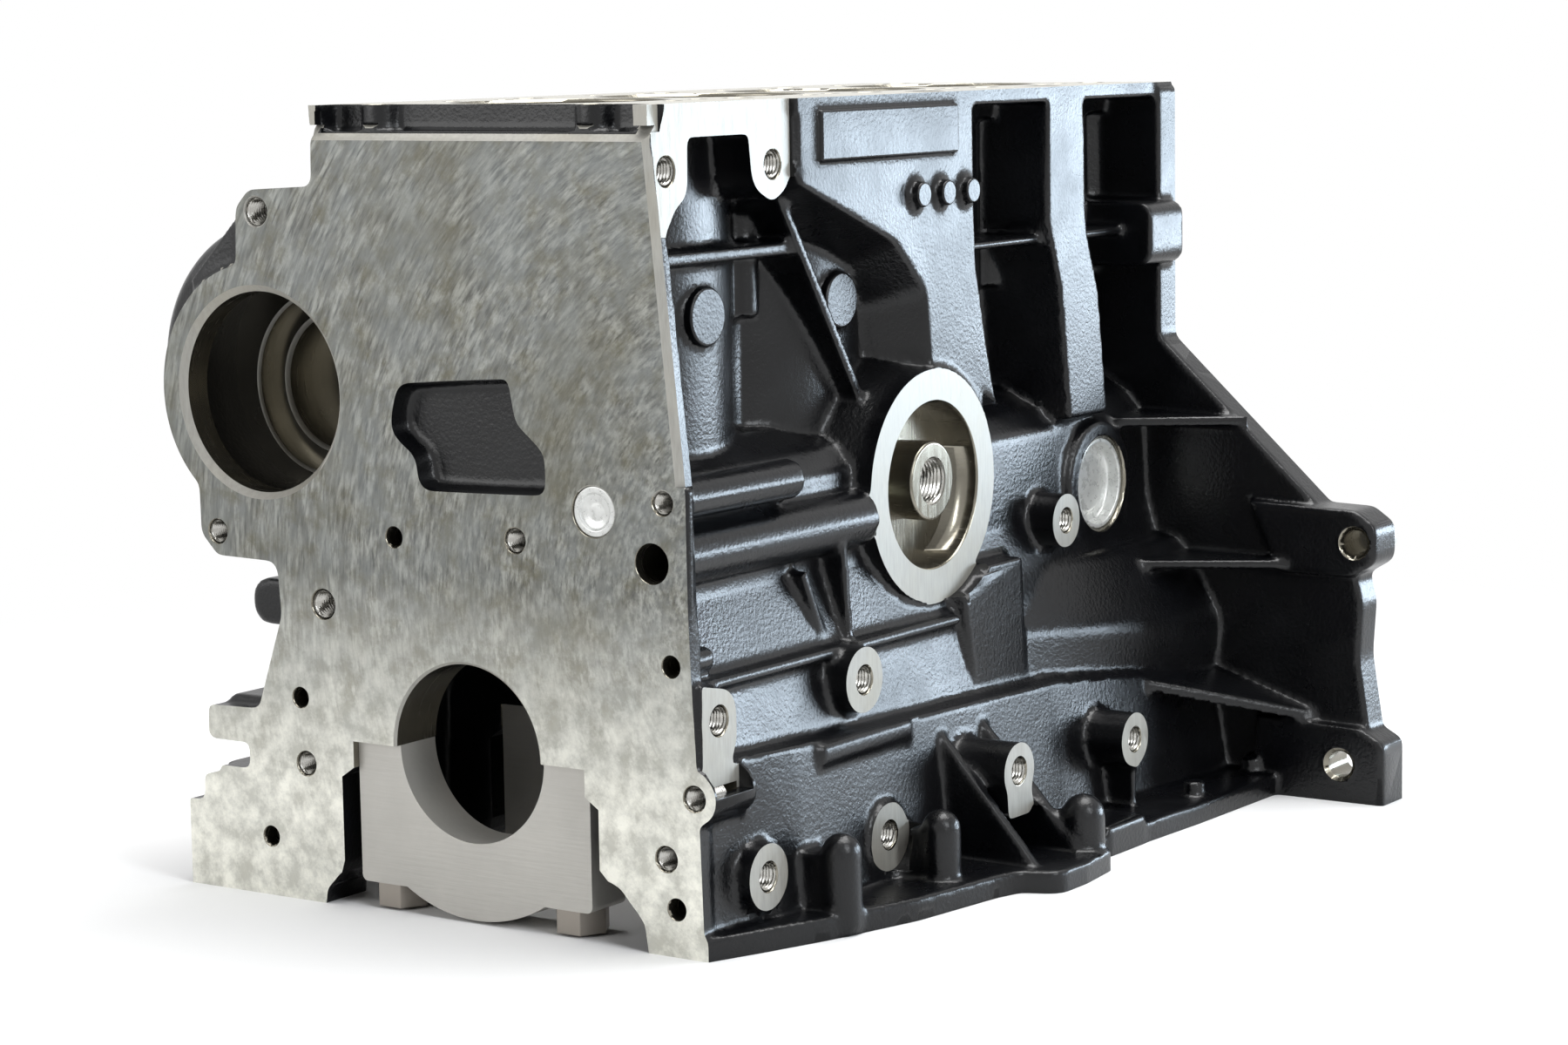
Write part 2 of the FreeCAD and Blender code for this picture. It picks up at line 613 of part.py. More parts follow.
def cylinder_block():
    body = joined([front_plate_solid(), upper_body(), deck_plate(), crankcase(), sump_rail(),
                   bell_housing_flange(), pump_housing(), breather_column(), drain_column(),
                   accessory_frame(), gallery_bulges(), side_bosses(), side_ribs(),
                   pump_side_features()])
    label = block(deck_right - 1, deck_right + 1.5, 102, 198, deck_height - 23, deck_height - 5)
    pips = [rod("yz", y, deck_height - 38.5, 4.8, deck_right - 1, deck_right + 4.5)
            for y in (169, 187, 205)]
    discs = [rod("yz", y, 158.5, 10.8, 60, cylinder_offset + jacket_outer_radius + 1.5)
             for y in bores[:2]]
    body = body.fuse([label] + pips + discs)
    cuts = crankcase_bays() + [cap_tunnel(), water_jacket()]
    cuts += [rod("xz", 0, 0, crank_bore_radius, -1, block_length + 1)]
    cuts += [rod("xy", cylinder_offset, y, bore_radius, 40, deck_height + 1) for y in bores]
    cuts += front_recesses() + pump_bore() + timing_face_holes() + side_holes()
    cuts += head_bolt_holes() + coolant_holes() + drains() + cap_bolt_holes()
    cuts += flange_holes() + rail_holes() + plug_seats()
    return body.cut(cuts)


# ------------------------------------------------------------------ the loose pieces
def main_cap(y):
    """A bearing cap: square shoulders, a round belly, half of the crank bore."""
    half = cap_half_width
    start, end = y - cap_thickness / 2, y + cap_thickness / 2
    body = prism("xz", [(-half, 0), (half, 0), (half, -cap_shoulder_drop, 2.5),
                        (-half, -cap_shoulder_drop, 2.5)], start, end)
    belly = rod("xz", 0, 0, cap_belly_radius, start, end)
    belly = belly.cut(block(-100, 100, start - 1, end + 1, 0, 100))
    belly = belly.cut([block(-100, -half + 18, start - 1, end + 1, -100, 100),
                       block(half - 18, 100, start - 1, end + 1, -100, 100)])
    holes = [rod("xy", side * cap_bolt_offset, y, bolt_radius + 0.5, -cap_shoulder_drop - 1, 1)
             for side in (-1, 1)]
    seats = [rod("xy", side * cap_bolt_offset, y, cap_bolt_head_radius + 0.6,
                 -cap_belly_radius - 1, -cap_shoulder_drop) for side in (-1, 1)]
    bore = rod("xz", 0, 0, crank_bore_radius, start - 1, end + 1)
    return body.fuse(belly).cut([bore] + holes + seats)


def cap_bolt(x, y):
    seat = -cap_shoulder_drop
    corners = [(x + cap_bolt_head_radius * math.cos(math.radians(60 * i)),
                y + cap_bolt_head_radius * math.sin(math.radians(60 * i))) for i in range(6)]
    head = prism("xy", corners, seat - cap_bolt_head_height, seat)
    shank = rod("xy", x, y, bolt_radius - bolt_clearance, seat, cap_bolt_depth)
    return head.fuse(shank)


def cup_plug(plane, u, v, radius, face, inward, depth):
    """A pressed steel cup: a flat floor with a rim towards the outside."""
    outer = radius - plug_clearance
    start = face + inward * 1.0
    end = face + inward * depth
    cup = rod(plane, u, v, outer, start, end)
    hollow = rod(plane, u, v, outer - plug_sheet, start - inward, end - inward * plug_sheet)
    return cup.cut(hollow)


def gallery_plug(start, direction):
    """A parallel plug with a shallow dished face."""
    end = start + direction * gallery_plug_length
    body = rod("xz", gallery_x, gallery_z, gallery_plug_radius - plug_clearance,
               start + direction * 0.5, end)
    dish = rod("xz", gallery_x, gallery_z, gallery_plug_radius - 3, start - direction,
               start + direction * 2)
    return body.cut(dish)


def dowel(x, z):
    """A hollow sleeve that lines up the bell housing."""
    start = block_length - dowel_length + dowel_stand_out
    end = block_length + dowel_stand_out
    return rod("xz", x, z, dowel_radius - plug_clearance, start, end).cut(
        rod("xz", x, z, dowel_bore_radius, start - 1, end + 1))


def build():
    nodes = {"cylinder_block": cylinder_block()}
    for number, y in enumerate(mains, 1):
        nodes["main_cap_%d" % number] = main_cap(y)
    nodes["main_cap_bolts"] = Part.makeCompound(
        [cap_bolt(side * cap_bolt_offset, y) for y in mains for side in (-1, 1)])
    nodes["core_plug_filter_side"] = cup_plug("yz", core_plug_y, core_plug_z, core_plug_radius,
                                              core_boss_face, -1, core_plug_depth)
    for number, y in enumerate(plug_spots(), 1):
        nodes["core_plug_pump_side_%d" % number] = cup_plug(
            "yz", y, side_core_plug_z, side_core_plug_radius, plug_face, 1, side_core_plug_depth)
    nodes["gallery_plug_front"] = gallery_plug(0, 1)
    nodes["gallery_plug_rear"] = gallery_plug(block_length, -1)
    for side, (x, z) in zip(("filter_side", "pump_side"), dowel_spots()):
        nodes["bell_housing_dowel_" + side] = dowel(x, z)
    return nodes


def export(nodes):
    """Set the block on z = 0, centred in X and Y, and write one file for each node."""
    os.makedirs("parts", exist_ok=True)
    bounds = Part.makeCompound(list(nodes.values())).optimalBoundingBox()
    shift = V(-(bounds.XMin + bounds.XMax) / 2, -(bounds.YMin + bounds.YMax) / 2, -bounds.ZMin)
    for name, shape in nodes.items():
        placed = shape.copy()
        placed.translate(shift)
        placed.exportStep("parts/%s.step" % name)
        print(name, len(placed.Solids), placed.isValid(), round(placed.Volume / 1000, 1), "cm3")
    print("shift", shift)


export(build())
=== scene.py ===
"""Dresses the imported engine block: cast skin, machined faces, threads, caps, bolts and plugs."""

import json
import math

import bpy
import numpy as np
from bpy.props import FloatProperty, FloatVectorProperty, IntProperty, PointerProperty
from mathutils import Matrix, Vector

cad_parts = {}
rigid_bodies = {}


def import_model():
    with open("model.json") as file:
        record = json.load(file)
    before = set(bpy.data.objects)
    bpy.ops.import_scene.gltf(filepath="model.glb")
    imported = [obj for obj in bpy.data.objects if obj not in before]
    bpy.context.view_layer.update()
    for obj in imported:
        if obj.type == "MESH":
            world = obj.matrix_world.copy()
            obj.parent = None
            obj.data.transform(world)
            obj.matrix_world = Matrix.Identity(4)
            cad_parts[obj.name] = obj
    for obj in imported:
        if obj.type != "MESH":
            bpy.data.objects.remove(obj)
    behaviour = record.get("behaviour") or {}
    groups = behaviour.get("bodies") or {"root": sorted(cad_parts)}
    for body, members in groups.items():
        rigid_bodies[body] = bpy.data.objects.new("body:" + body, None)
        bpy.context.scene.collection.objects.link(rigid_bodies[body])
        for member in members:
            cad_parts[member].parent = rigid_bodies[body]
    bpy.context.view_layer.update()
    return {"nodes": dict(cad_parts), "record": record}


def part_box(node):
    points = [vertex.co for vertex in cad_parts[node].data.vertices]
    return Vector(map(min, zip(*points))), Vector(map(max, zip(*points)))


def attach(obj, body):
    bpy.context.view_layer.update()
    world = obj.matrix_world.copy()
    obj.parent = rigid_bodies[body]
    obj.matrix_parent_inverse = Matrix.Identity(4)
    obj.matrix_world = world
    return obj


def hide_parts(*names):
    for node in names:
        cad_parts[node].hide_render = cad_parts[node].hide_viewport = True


bl_info = {
    "name": "Engine Block Dresser",
    "version": (1, 0, 0),
    "blender": (4, 5, 0),
    "location": "3D View > Sidebar > Engine Block",
    "description": "Cast and machined finish for a bare in-line engine block",
    "category": "Object",
}

for leftover in list(bpy.data.objects):
    bpy.data.objects.remove(leftover)
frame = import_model()

MM = 0.001
block_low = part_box("cylinder_block")[0]
mounts = {mount["name"]: mount for mount in frame["record"]["mounts"]}
crank_axis = Vector(mounts["crank_tunnel"]["pos_m"])
DATUM = Vector((crank_axis.x, block_low.y, crank_axis.z))

# Sizes of the block in millimetres, from the crank axis at the timing face.
DECK = 236.0
RAIL = -63.6
LENGTH = 374.0
BORE_RADIUS = mounts["cylinder_bore_1"]["dims"]["r_mm"]
CRANK_RADIUS = mounts["crank_tunnel"]["dims"]["r_mm"]
PUMP_RADIUS = mounts["water_pump_bore"]["dims"]["r_mm"]
FILTER_THREAD_RADIUS = mounts["oil_filter_thread"]["dims"]["r_mm"]
BORE_X = 8.0
BORES = [55.0 + 88.0 * i for i in range(4)]
BULKHEADS = [(0.0, 24.0), (88.0, 110.0), (176.0, 198.0), (264.0, 286.0), (350.0, 374.0)]
HEAD_BOLTS = [(BORE_X + side * 49.0, 11.0 + 88.0 * i) for i in range(5) for side in (-1, 1)]
HEAD_BOLT_RADIUS = 5.5
COOLANT_RADIUS = 3.5
PUMP = (-95.3, 129.0)
VOLUTE_RADIUS = 46.0
PUMP_REAR_RADIUS = 34.8
PUMP_SEAL_RADIUS = 26.3
FILTER = (177.0, 85.0)
FILTER_FACE = 92.0
FILTER_WELL_RADIUS = 32.0
HUB = (FILTER[0], FILTER[1] + 1.5)
HUB_RADIUS = 15.5
HUB_FACE = 91.5
CORE_PLUG = (316.0, 70.0)
CORE_PLUG_FACE = 88.0
CORE_PLUG_RADIUS = 19.0
CORE_HOLE_RADIUS = 15.0
PUMP_PLUG_FACE = -58.0
PUMP_PLUG_RADIUS = 18.0
PUMP_PLUG_HEIGHT = 165.0
FRAME_FACE = 87.0
FRAME_BOLTS = [(11.5, 212.6), (77.2, 212.6)]
BOLT_HOLE_RADIUS = 5.0
FRONT_TOP = 225.8
CHAMFER = 2.5
GALLERY = (60.8, 93.3)
GALLERY_RADIUS = 9.2
FLANGE_HOLE_RADIUS = 5.5
DOWEL_RADIUS = 7.5
RAIL_HOLE_RADIUS = 3.4

# The timing face's edge on the filter side: x at the top, its lean, its foot and its middle.
FLANK_TOP_X = 87.4
FLANK_LEAN = 11.8 / 121.8
FLANK_FOOT = 104
FLANK_MIDDLE = (93.3, 164.9)

FLANGE_HOLES = [(185.5, 46), (-162, 46), (179, -47.8), (-156, -48)]
RAIL_HOLES = [(-122, 14), (124, 60), (127, 120), (140, 300), (138, 356), (-112, 356)]
RAIL_HOLES += [(-104, y) for y in (80, 140, 200, 260, 316)]

# Tapped bosses of the filter side: y, z, radius of the boss, its face, radius of the hole.
SIDE_BOSSES = [(12, 20.5, 10.5, 105, 5.0), (106, 20.5, 12.5, 105, 5.0), (31, -38.5, 12.2, 112, 5.0),
               (111, -38.5, 12.2, 112, 5.0), (170, -22.5, 11.2, 133.5, 5.0),
               (268, -27, 11.0, 130, 4.6), (269, 60.5, 11.0, 98, 4.6)]
# Holes of the timing face: x, z, radius, depth.
FACE_HOLES = [(-93.7, 196.7, 5.2, 24), (-118.4, 75.1, 4.2, 22), (-31.3, 78.3, 3.4, 20),
              (25.2, 80.7, 4.2, 20), (-66.6, 50.8, 5.2, 24), (-79.4, 14.3, 3.4, 20),
              (-77.5, -10.8, 4.2, 20), (-96.4, -40.8, 3.4, 20), (90.9, 98.1, 4.0, 24),
              (93.2, 40.5, 3.4, 20), (102.2, -5.7, 4.2, 22), (89.6, -28.6, 4.2, 22),
              (93.7, -46.3, 3.4, 20)]

# Finishes of the casting, by the numbers of its faces.
SKIN_FINISHES = ("casting_paint", "milled_iron", "milled_front", "bored_iron")
CAST, MILLED, FRONT, BORED = range(4)

WELD_DISTANCE = 1e-6


# ------------------------------------------------------------------ places and selection
def place(x, y, z):
    """A point in metres of the shared frame, from millimetres about the crank axis."""
    return DATUM + Vector((x, y, z)) * MM


def activate(obj, *others):
    """Makes an object the active one, and selects only it and the others."""
    for chosen in bpy.context.selected_objects:
        chosen.select_set(False)
    for chosen in (obj, *others):
        chosen.select_set(True)
    bpy.context.view_layer.objects.active = obj


def finish_place(obj):
    """Moves an object's place, turn and scale into its mesh."""
    activate(obj)
    bpy.ops.object.transform_apply(location=True, rotation=True, scale=True)
    return obj


def join(objects, name):
    """Joins objects into the first of them, under a new name."""
    activate(*objects)
    if len(objects) > 1:
        bpy.ops.object.join()
    merged = objects[0]
    merged.name = name
    merged.data.name = name
    return finish_place(merged)


def apply_modifier(obj, kind, **settings):
    """Adds one modifier, sets it up and applies it."""
    activate(obj)
    modifier = obj.modifiers.new(kind.title(), kind)
    for key, value in settings.items():
        setattr(modifier, key, value)
    bpy.ops.object.modifier_apply(modifier=modifier.name)


def carve(target, cutters, operation="DIFFERENCE"):
    """One boolean of the target with cutters that don't meet each other."""
    cutter = join(cutters, "cutter")
    apply_modifier(target, "BOOLEAN", operation=operation, object=cutter, solver="MANIFOLD")
    bpy.data.objects.remove(cutter)


def copy_of_node(name, new_name):
    """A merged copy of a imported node's mesh."""
    source = frame["nodes"][name]
    mesh = source.data.copy()
    mesh.name = new_name
    mesh.materials.clear()
    obj = bpy.data.objects.new(new_name, mesh)
    bpy.context.collection.objects.link(obj)
    return weld(obj)


def edit_all():
    """Enters the active mesh with all of it selected."""
    bpy.ops.object.mode_set(mode="EDIT")
    bpy.ops.mesh.select_all(action="SELECT")


def weld(obj):
    """Merges the corners of a mesh that lie on each other."""
    activate(obj)
    edit_all()
    bpy.ops.mesh.remove_doubles(threshold=WELD_DISTANCE)
    bpy.ops.object.mode_set(mode="OBJECT")
    return obj


def ease_edges(obj, width, segments=2, angle=30):
    """Rounds the edges that are sharper than an angle; the width is in millimetres."""
    apply_modifier(obj, "BEVEL", width=width * MM, segments=segments, limit_method="ANGLE",
                   angle_limit=math.radians(angle))
    return obj


AXIS_TURN = {"x": (0.0, math.pi / 2, 0.0), "y": (-math.pi / 2, 0.0, 0.0), "z": (0.0, 0.0, 0.0)}


def along(axis, u, v, level):
    """The point u, v of a drawing seen along the axis, at a level on that axis."""
    if axis == "x":
        return place(level, u, v)
    if axis == "y":
        return place(u, level, v)
    return place(u, v, level)


def bar(axis, u, v, radius, start, end, sides, end_radius=None):
    """A round bar or cone between two levels of an axis; radius holds at start."""
    last = radius if end_radius is None else end_radius
    (low, low_radius), (high, high_radius) = sorted([(start, radius), (end, last)])
    bpy.ops.mesh.primitive_cone_add(vertices=sides, radius1=low_radius * MM,
                                    radius2=high_radius * MM, depth=(high - low) * MM,
                                    location=along(axis, u, v, (low + high) / 2),
                                    rotation=AXIS_TURN[axis])
    return finish_place(bpy.context.object)


def brick(x0, x1, y0, y1, z0, z1):
    """A box between levels on the three axes, in millimetres."""
    middle = place((x0 + x1) / 2, (y0 + y1) / 2, (z0 + z1) / 2)
    bpy.ops.mesh.primitive_cube_add(size=1.0, location=middle,
                                    scale=Vector((x1 - x0, y1 - y0, z1 - z0)) * MM)
    return finish_place(bpy.context.object)


def rows(items, key):
    """A vector that each item of a mesh has, one to a row."""
    values = np.empty(len(items) * 3)
    items.foreach_get(key, values)
    return values.reshape(-1, 3)


def in_millimetres(points):
    """Places in metres of the shared frame, as millimetres about the datum."""
    return (points - np.array(DATUM)) / MM


def corners(obj):
    """The corners of a mesh, in millimetres about the datum."""
    return in_millimetres(rows(obj.data.vertices, "co"))


def write_millimetres(obj, points):
    """Moves the corners of a mesh to places in millimetres about the datum."""
    obj.data.vertices.foreach_set("co", (points * MM + np.array(DATUM)).ravel())
    obj.data.update()


def near(values, level, slack):
    """Marks the values that differ from a level by less than the slack."""
    return np.abs(values - level) < slack


def between(values, low, high):
    """Marks the values between two limits."""
    return (values > low) & (values < high)


# ------------------------------------------------------------------ what is machined
# Milled planes: axis number, level, side that is cut away, and the box that they hold in.
WIDE = (-400, 400)
PLANES = [
    (1, 0.0, -1, (WIDE, WIDE, WIDE)),
    (1, 1.0, -1, ((-80, FRAME_FACE), WIDE, (226.5, 300))),
    (1, LENGTH, 1, (WIDE, WIDE, WIDE)),
    (2, DECK, 1, (WIDE, WIDE, WIDE)),
    (2, RAIL, -1, (WIDE, WIDE, WIDE)),
    (0, FRAME_FACE, 1, (WIDE, (7.2, 88.3), (186, 240))),
    (0, FRAME_FACE, 1, (WIDE, (-1, 7.2), (226.5, 240))),
]

# Milled pads of the filter side: face, then the round or the box that is cut.
ROUND_PADS = [(face, y, z, radius + 1.5) for y, z, radius, face, hole in SIDE_BOSSES]
ROUND_PADS.append((FILTER_FACE, FILTER[0], FILTER[1], 46.5))
BOX_PADS = [(105, 1, 23.5, -5, 34), (133.5, 159.5, 180.5, -41, -22)]

# The seat of the caps, seen along the crank: parting face, register walls, cast flanks.
SEAT = 54.05
TUNNEL = [(-SEAT, 0), (-SEAT, -10), (-60, -14), (-60, -46), (-62, -52), (-69, -59), (-71, -70),
          (82, -70), (80, -56), (77, -50), (69, -42), (64, -40), (60, -36), (60, -14),
          (SEAT, -10), (SEAT, 0)]


def drillings():
    """Round cuts: axis, place, radius, mouth, bottom, and the width of the mouth's chamfer."""
    cuts = [("y", x, z, radius, 0, depth, 0.8) for x, z, radius, depth in FACE_HOLES]
    cuts.append(("y", 85.8, 76.4, 6.8, 0, 120, 0.6))
    cuts += [("x", y, z, hole, face, face - 22, 0.9) for y, z, radius, face, hole in SIDE_BOSSES]
    cuts += [("x", y, z, BOLT_HOLE_RADIUS, FRAME_FACE, FRAME_FACE - 18, 0.8)
             for y, z in FRAME_BOLTS]
    cuts += [("z", x, y, HEAD_BOLT_RADIUS, DECK, DECK - 80, 0.8) for x, y in HEAD_BOLTS]
    cuts += [("z", x, y, COOLANT_RADIUS, DECK, DECK - 11, 0.4) for x, y in coolant_spots()]
    cuts += [("z", BORE_X, y, BORE_RADIUS, DECK, 38, 1.0) for y in BORES]
    cuts += [("y", x, z, FLANGE_HOLE_RADIUS, 355, LENGTH + 1, 1.4) for x, z in FLANGE_HOLES]
    cuts += [("y", x, z, DOWEL_RADIUS, LENGTH, LENGTH - 10, 0.4) for x, z in FLANGE_HOLES[:2]]
    cuts += [("y", *GALLERY, GALLERY_RADIUS, 0, 10, 0.4),
             ("y", *GALLERY, GALLERY_RADIUS, LENGTH, LENGTH - 10, 0.4)]
    cuts += [("x", *CORE_PLUG, CORE_PLUG_RADIUS, CORE_PLUG_FACE, CORE_PLUG_FACE - 9, 1.0),
             ("x", *CORE_PLUG, CORE_HOLE_RADIUS, 80, 66, 0)]
    cuts += [("y", *PUMP, PUMP_RADIUS, 0, 13, 2.5),
             ("y", PUMP[0] - 1, PUMP[1] + 4, VOLUTE_RADIUS, 12.9, 39, 0),
             ("y", *PUMP, PUMP_REAR_RADIUS, 38.5, 46, 1.6),
             ("y", *PUMP, PUMP_SEAL_RADIUS, 45.5, 60, 2.0)]
    cuts += [("x", *FILTER, FILTER_WELL_RADIUS, FILTER_FACE, FILTER_FACE - 14, 1.0)]
    cuts += [("z", x, y, RAIL_HOLE_RADIUS, RAIL, RAIL + 14, 0.5) for x, y in RAIL_HOLES]
    cuts += [("y", 0, 0, CRANK_RADIUS, 0, LENGTH + 1, 1.0)]
    return cuts


def coolant_spots():
    """Places of the coolant holes in the deck, four round each bore."""
    reach = BORE_RADIUS + 11.0
    turns = [math.radians(angle) for angle in (0, 180, 28, 152)]
    return [(BORE_X + reach * math.cos(turn), y + reach * math.sin(turn))
            for y in BORES for turn in turns]


def drill_cutters(step):
    """Steps 0 and 1 give the straight cutters, which start a little outside; 2 the chamfers."""
    cutters = []
    for axis, u, v, radius, mouth, bottom, chamfer in drillings():
        inner = radius in (VOLUTE_RADIUS, PUMP_SEAL_RADIUS, CORE_HOLE_RADIUS)
        if step < 2 and inner != (step == 1):
            continue
        inward = 1 if bottom > mouth else -1
        sides = 96 if radius > 25 else 40
        if step < 2:
            start = mouth if radius == VOLUTE_RADIUS else mouth - 2 * inward
            cutters.append(bar(axis, u, v, radius, start, bottom, sides))
        elif chamfer:
            cutters.append(bar(axis, u, v, radius + chamfer + 1, mouth - inward,
                               mouth + inward * chamfer, sides, end_radius=radius))
    return cutters


def hole_plugs():
    """Round plugs and blocks that close what is drilled or bored later."""
    plugs = []
    for axis, u, v, radius, mouth, bottom, chamfer in drillings():
        if radius == CRANK_RADIUS:
            continue
        if radius == BORE_RADIUS:
            bottom = 90
        inward = 1 if bottom > mouth else -1
        sides = 96 if radius > 25 else 24
        plugs.append(bar(axis, u, v, radius + 1.2, mouth - inward, bottom + inward, sides))
    plugs += [brick(-61, 61, start - (2 if start == 0 else -1), end + (2 if end == LENGTH else -1),
                    -50, 36) for start, end in BULKHEADS]
    return plugs


def plane_cutters():
    """Boxes, discs and wedges for all milled planes, pads and edges."""
    cutters = []
    for axis, level, side, box in PLANES:
        limits = list(box)
        limits[axis] = sorted((level, level + side * 30))
        cutters.append(brick(*limits[0], *limits[1], *limits[2]))
    cutters += [bar("x", y, z, radius, face, face + 7, 72) for face, y, z, radius in ROUND_PADS]
    cutters += [brick(face, face + 7, y0, y1, z0, z1) for face, y0, y1, z0, z1 in BOX_PADS]
    cutters.append(brick(-64, FRAME_FACE - 6, -8, 4.3, FRONT_TOP, FRONT_TOP + 8))
    return cutters + edge_wedges()


def edge_wedges():
    """Chamfers on the top and on the filter side of the timing face, and that side's edge."""
    reach = CHAMFER + 2
    over = brick(-75, 93, -reach, reach, FRONT_TOP - reach, FRONT_TOP + reach)
    side = brick(93 - reach, 93 + reach, -reach, reach, FLANK_FOOT, FRONT_TOP)
    for piece, number, level in ((over, 2, FRONT_TOP), (side, 0, FLANK_MIDDLE[0])):
        points = corners(piece)
        middle = points[:, number].mean()
        inner = (points[:, number] < middle) & (points[:, 1] > 0)
        points[points[:, number] < middle, number] = level - CHAMFER - 3
        points[points[:, number] > middle, number] = level + 3
        points[points[:, 1] > 0, 1] = CHAMFER + 3
        points[points[:, 1] < 0, 1] = -3
        points[inner, 1] = -3 + 0.01
        if piece is side:
            points[:, 0] -= (points[:, 2] - FLANK_MIDDLE[1]) * FLANK_LEAN
        write_millimetres(piece, points)
    flank = brick(FLANK_MIDDLE[0], FLANK_MIDDLE[0] + 10, -8, 7.0, FLANK_FOOT, FRONT_TOP + 0.7)
    points = corners(flank)
    points[:, 0] += side_of_plate(points[:, 2]) - FLANK_MIDDLE[0]
    write_millimetres(flank, points)
    behind = brick(FRAME_FACE, FRAME_FACE + 10, CHAMFER + 0.1, 9, 190, FRONT_TOP + 0.7)
    return [over, side, flank, behind]


def drawn(name, points):
    """An open line through points in millimetres, drawn corner by corner."""
    bpy.ops.mesh.primitive_plane_add(size=1 * MM, location=(0, 0, 0))
    line = bpy.context.object
    line.name = name
    edit_all()
    bpy.ops.mesh.merge(type="CENTER")
    here = Vector(points[0])
    bpy.ops.transform.translate(value=here * MM)
    for point in points[1:]:
        there = Vector(point)
        bpy.ops.mesh.extrude_region_move(TRANSFORM_OT_translate={"value": (there - here) * MM})
        here = there
    bpy.ops.object.mode_set(mode="OBJECT")
    return line


def prism(points, start, end):
    """A drawing seen along the crank axis, pushed from one level to another."""
    obj = drawn("prism", [(x, start, z) for x, z in points])
    edit_all()
    bpy.ops.mesh.edge_face_add()
    bpy.ops.mesh.extrude_region_move(
        TRANSFORM_OT_translate={"value": (0, (end - start) * MM, 0)})
    bpy.ops.mesh.select_all(action="SELECT")
    bpy.ops.mesh.normals_make_consistent(inside=False)
    bpy.ops.object.mode_set(mode="OBJECT")
    obj.location = DATUM
    return finish_place(obj)


# ------------------------------------------------------------------ the casting
def add_allowance(obj, depth):
    """Pushes the faces that will be machined outwards, as a rough casting has them."""
    local = corners(obj)
    for held, axis, side in on_milled_planes(local, 0.03):
        local[held, axis] += side * depth
    behind_edge = between(local[:, 1], 1, 3)
    local[behind_edge & near(local[:, 2], FRONT_TOP, 0.03), 2] += depth / 3
    flank = near(local[:, 0], side_of_plate(local[:, 2]), 0.05) & (local[:, 2] > FLANK_FOOT - 1)
    local[behind_edge & flank, 0] += depth
    write_millimetres(obj, local)


def side_of_plate(z):
    """The leaning edge of the timing face on the filter side."""
    return FLANK_TOP_X + (FRONT_TOP - z) * FLANK_LEAN


def on_milled_planes(points, slack):
    """Masks of the points on each milled plane or pad, with its axis and its outer side."""
    masks = []
    for axis, level, side, box in PLANES:
        held = near(points[:, axis], level, slack)
        for i in range(3):
            if i != axis:
                held &= between(points[:, i], box[i][0] - 0.1, box[i][1] + 0.1)
        masks.append((held, axis, side))
    for face, y, z, radius in ROUND_PADS:
        away = np.hypot(points[:, 1] - y, points[:, 2] - z)
        masks.append((near(points[:, 0], face, slack) & (away < radius + 0.1), 0, 1))
    for face, y0, y1, z0, z1 in BOX_PADS:
        held = near(points[:, 0], face, slack)
        held &= between(points[:, 1], y0, y1) & between(points[:, 2], z0, z1)
        masks.append((held, 0, 1))
    return masks


def keep_largest(obj):
    """Drops every loose shell but the largest, such as the closed water jacket."""
    activate(obj)
    bpy.ops.mesh.separate(type="LOOSE")
    shells = sorted(bpy.context.selected_objects, key=lambda shell: len(shell.data.vertices))
    for shell in shells[:-1]:
        bpy.data.objects.remove(shell)
    return shells[-1]


def polygon_data(mesh):
    """Centres in millimetres about the datum, and normals, of all faces."""
    return in_millimetres(rows(mesh.polygons, "center")), rows(mesh.polygons, "normal")


def milled_faces(centres, normals):
    """Marks the faces on a milled plane, and those that are drilled or bored."""
    milled = np.zeros(len(centres), bool)
    for held, axis, side in on_milled_planes(centres, 0.04):
        milled |= held & (normals[:, axis] * side > 0.99)
    bored = np.zeros(len(centres), bool)
    for axis, u, v, radius, mouth, bottom, chamfer in drillings():
        if radius == VOLUTE_RADIUS:
            continue
        number = "xyz".index(axis)
        others = [i for i in range(3) if i != number]
        away = np.hypot(centres[:, others[0]] - u, centres[:, others[1]] - v)
        level = centres[:, number]
        low, high = min(mouth, bottom) - 0.05, max(mouth, bottom) + 0.05
        bored |= (away < radius + 0.05) & between(level, low, high)
        bored |= ((away < radius + chamfer + 0.05) & near(level, mouth, chamfer + 0.05)
                  & (np.abs(normals[:, number]) < 0.95))
    seat = near(centres[:, 0], 0, SEAT + 0.1) & between(centres[:, 2], -10.2, 0.1)
    bored |= seat & ((np.abs(normals[:, 2]) > 0.99) | (np.abs(normals[:, 0]) > 0.99))
    return milled, bored


def skin_finishes(centres, normals):
    """The number in SKIN_FINISHES of each face's finish."""
    x, y, z = centres.T
    milled, bored = milled_faces(centres, normals)
    away = np.hypot(y - FILTER[0], z - FILTER[1])
    well = (away < FILTER_WELL_RADIUS + 1.2) & between(x, 60, FILTER_FACE + 0.1)
    index = np.full(len(centres), CAST, np.int32)
    index[bored | (well & (x < HUB_FACE - 0.2) & (away > 15))] = BORED
    index[milled | (well & (index == CAST))] = MILLED
    index[milled & near(y, 0, 0.1)] = FRONT
    flank = between(x, FRAME_FACE - 0.1, 92) & between(y, CHAMFER, 9.5) & (normals[:, 0] > 0.6)
    index[flank & (z > 190)] = MILLED
    sloping = between(normals[:, 1], -0.78, -0.6) & (z > 100)
    index[sloping & near(z - y, FRONT_TOP - CHAMFER, 0.1) & (y < 6)] = MILLED
    index[sloping & between(y, -0.1, CHAMFER + 0.1)] = MILLED
    index[wide_chamfers(centres, normals)] = MILLED
    return index


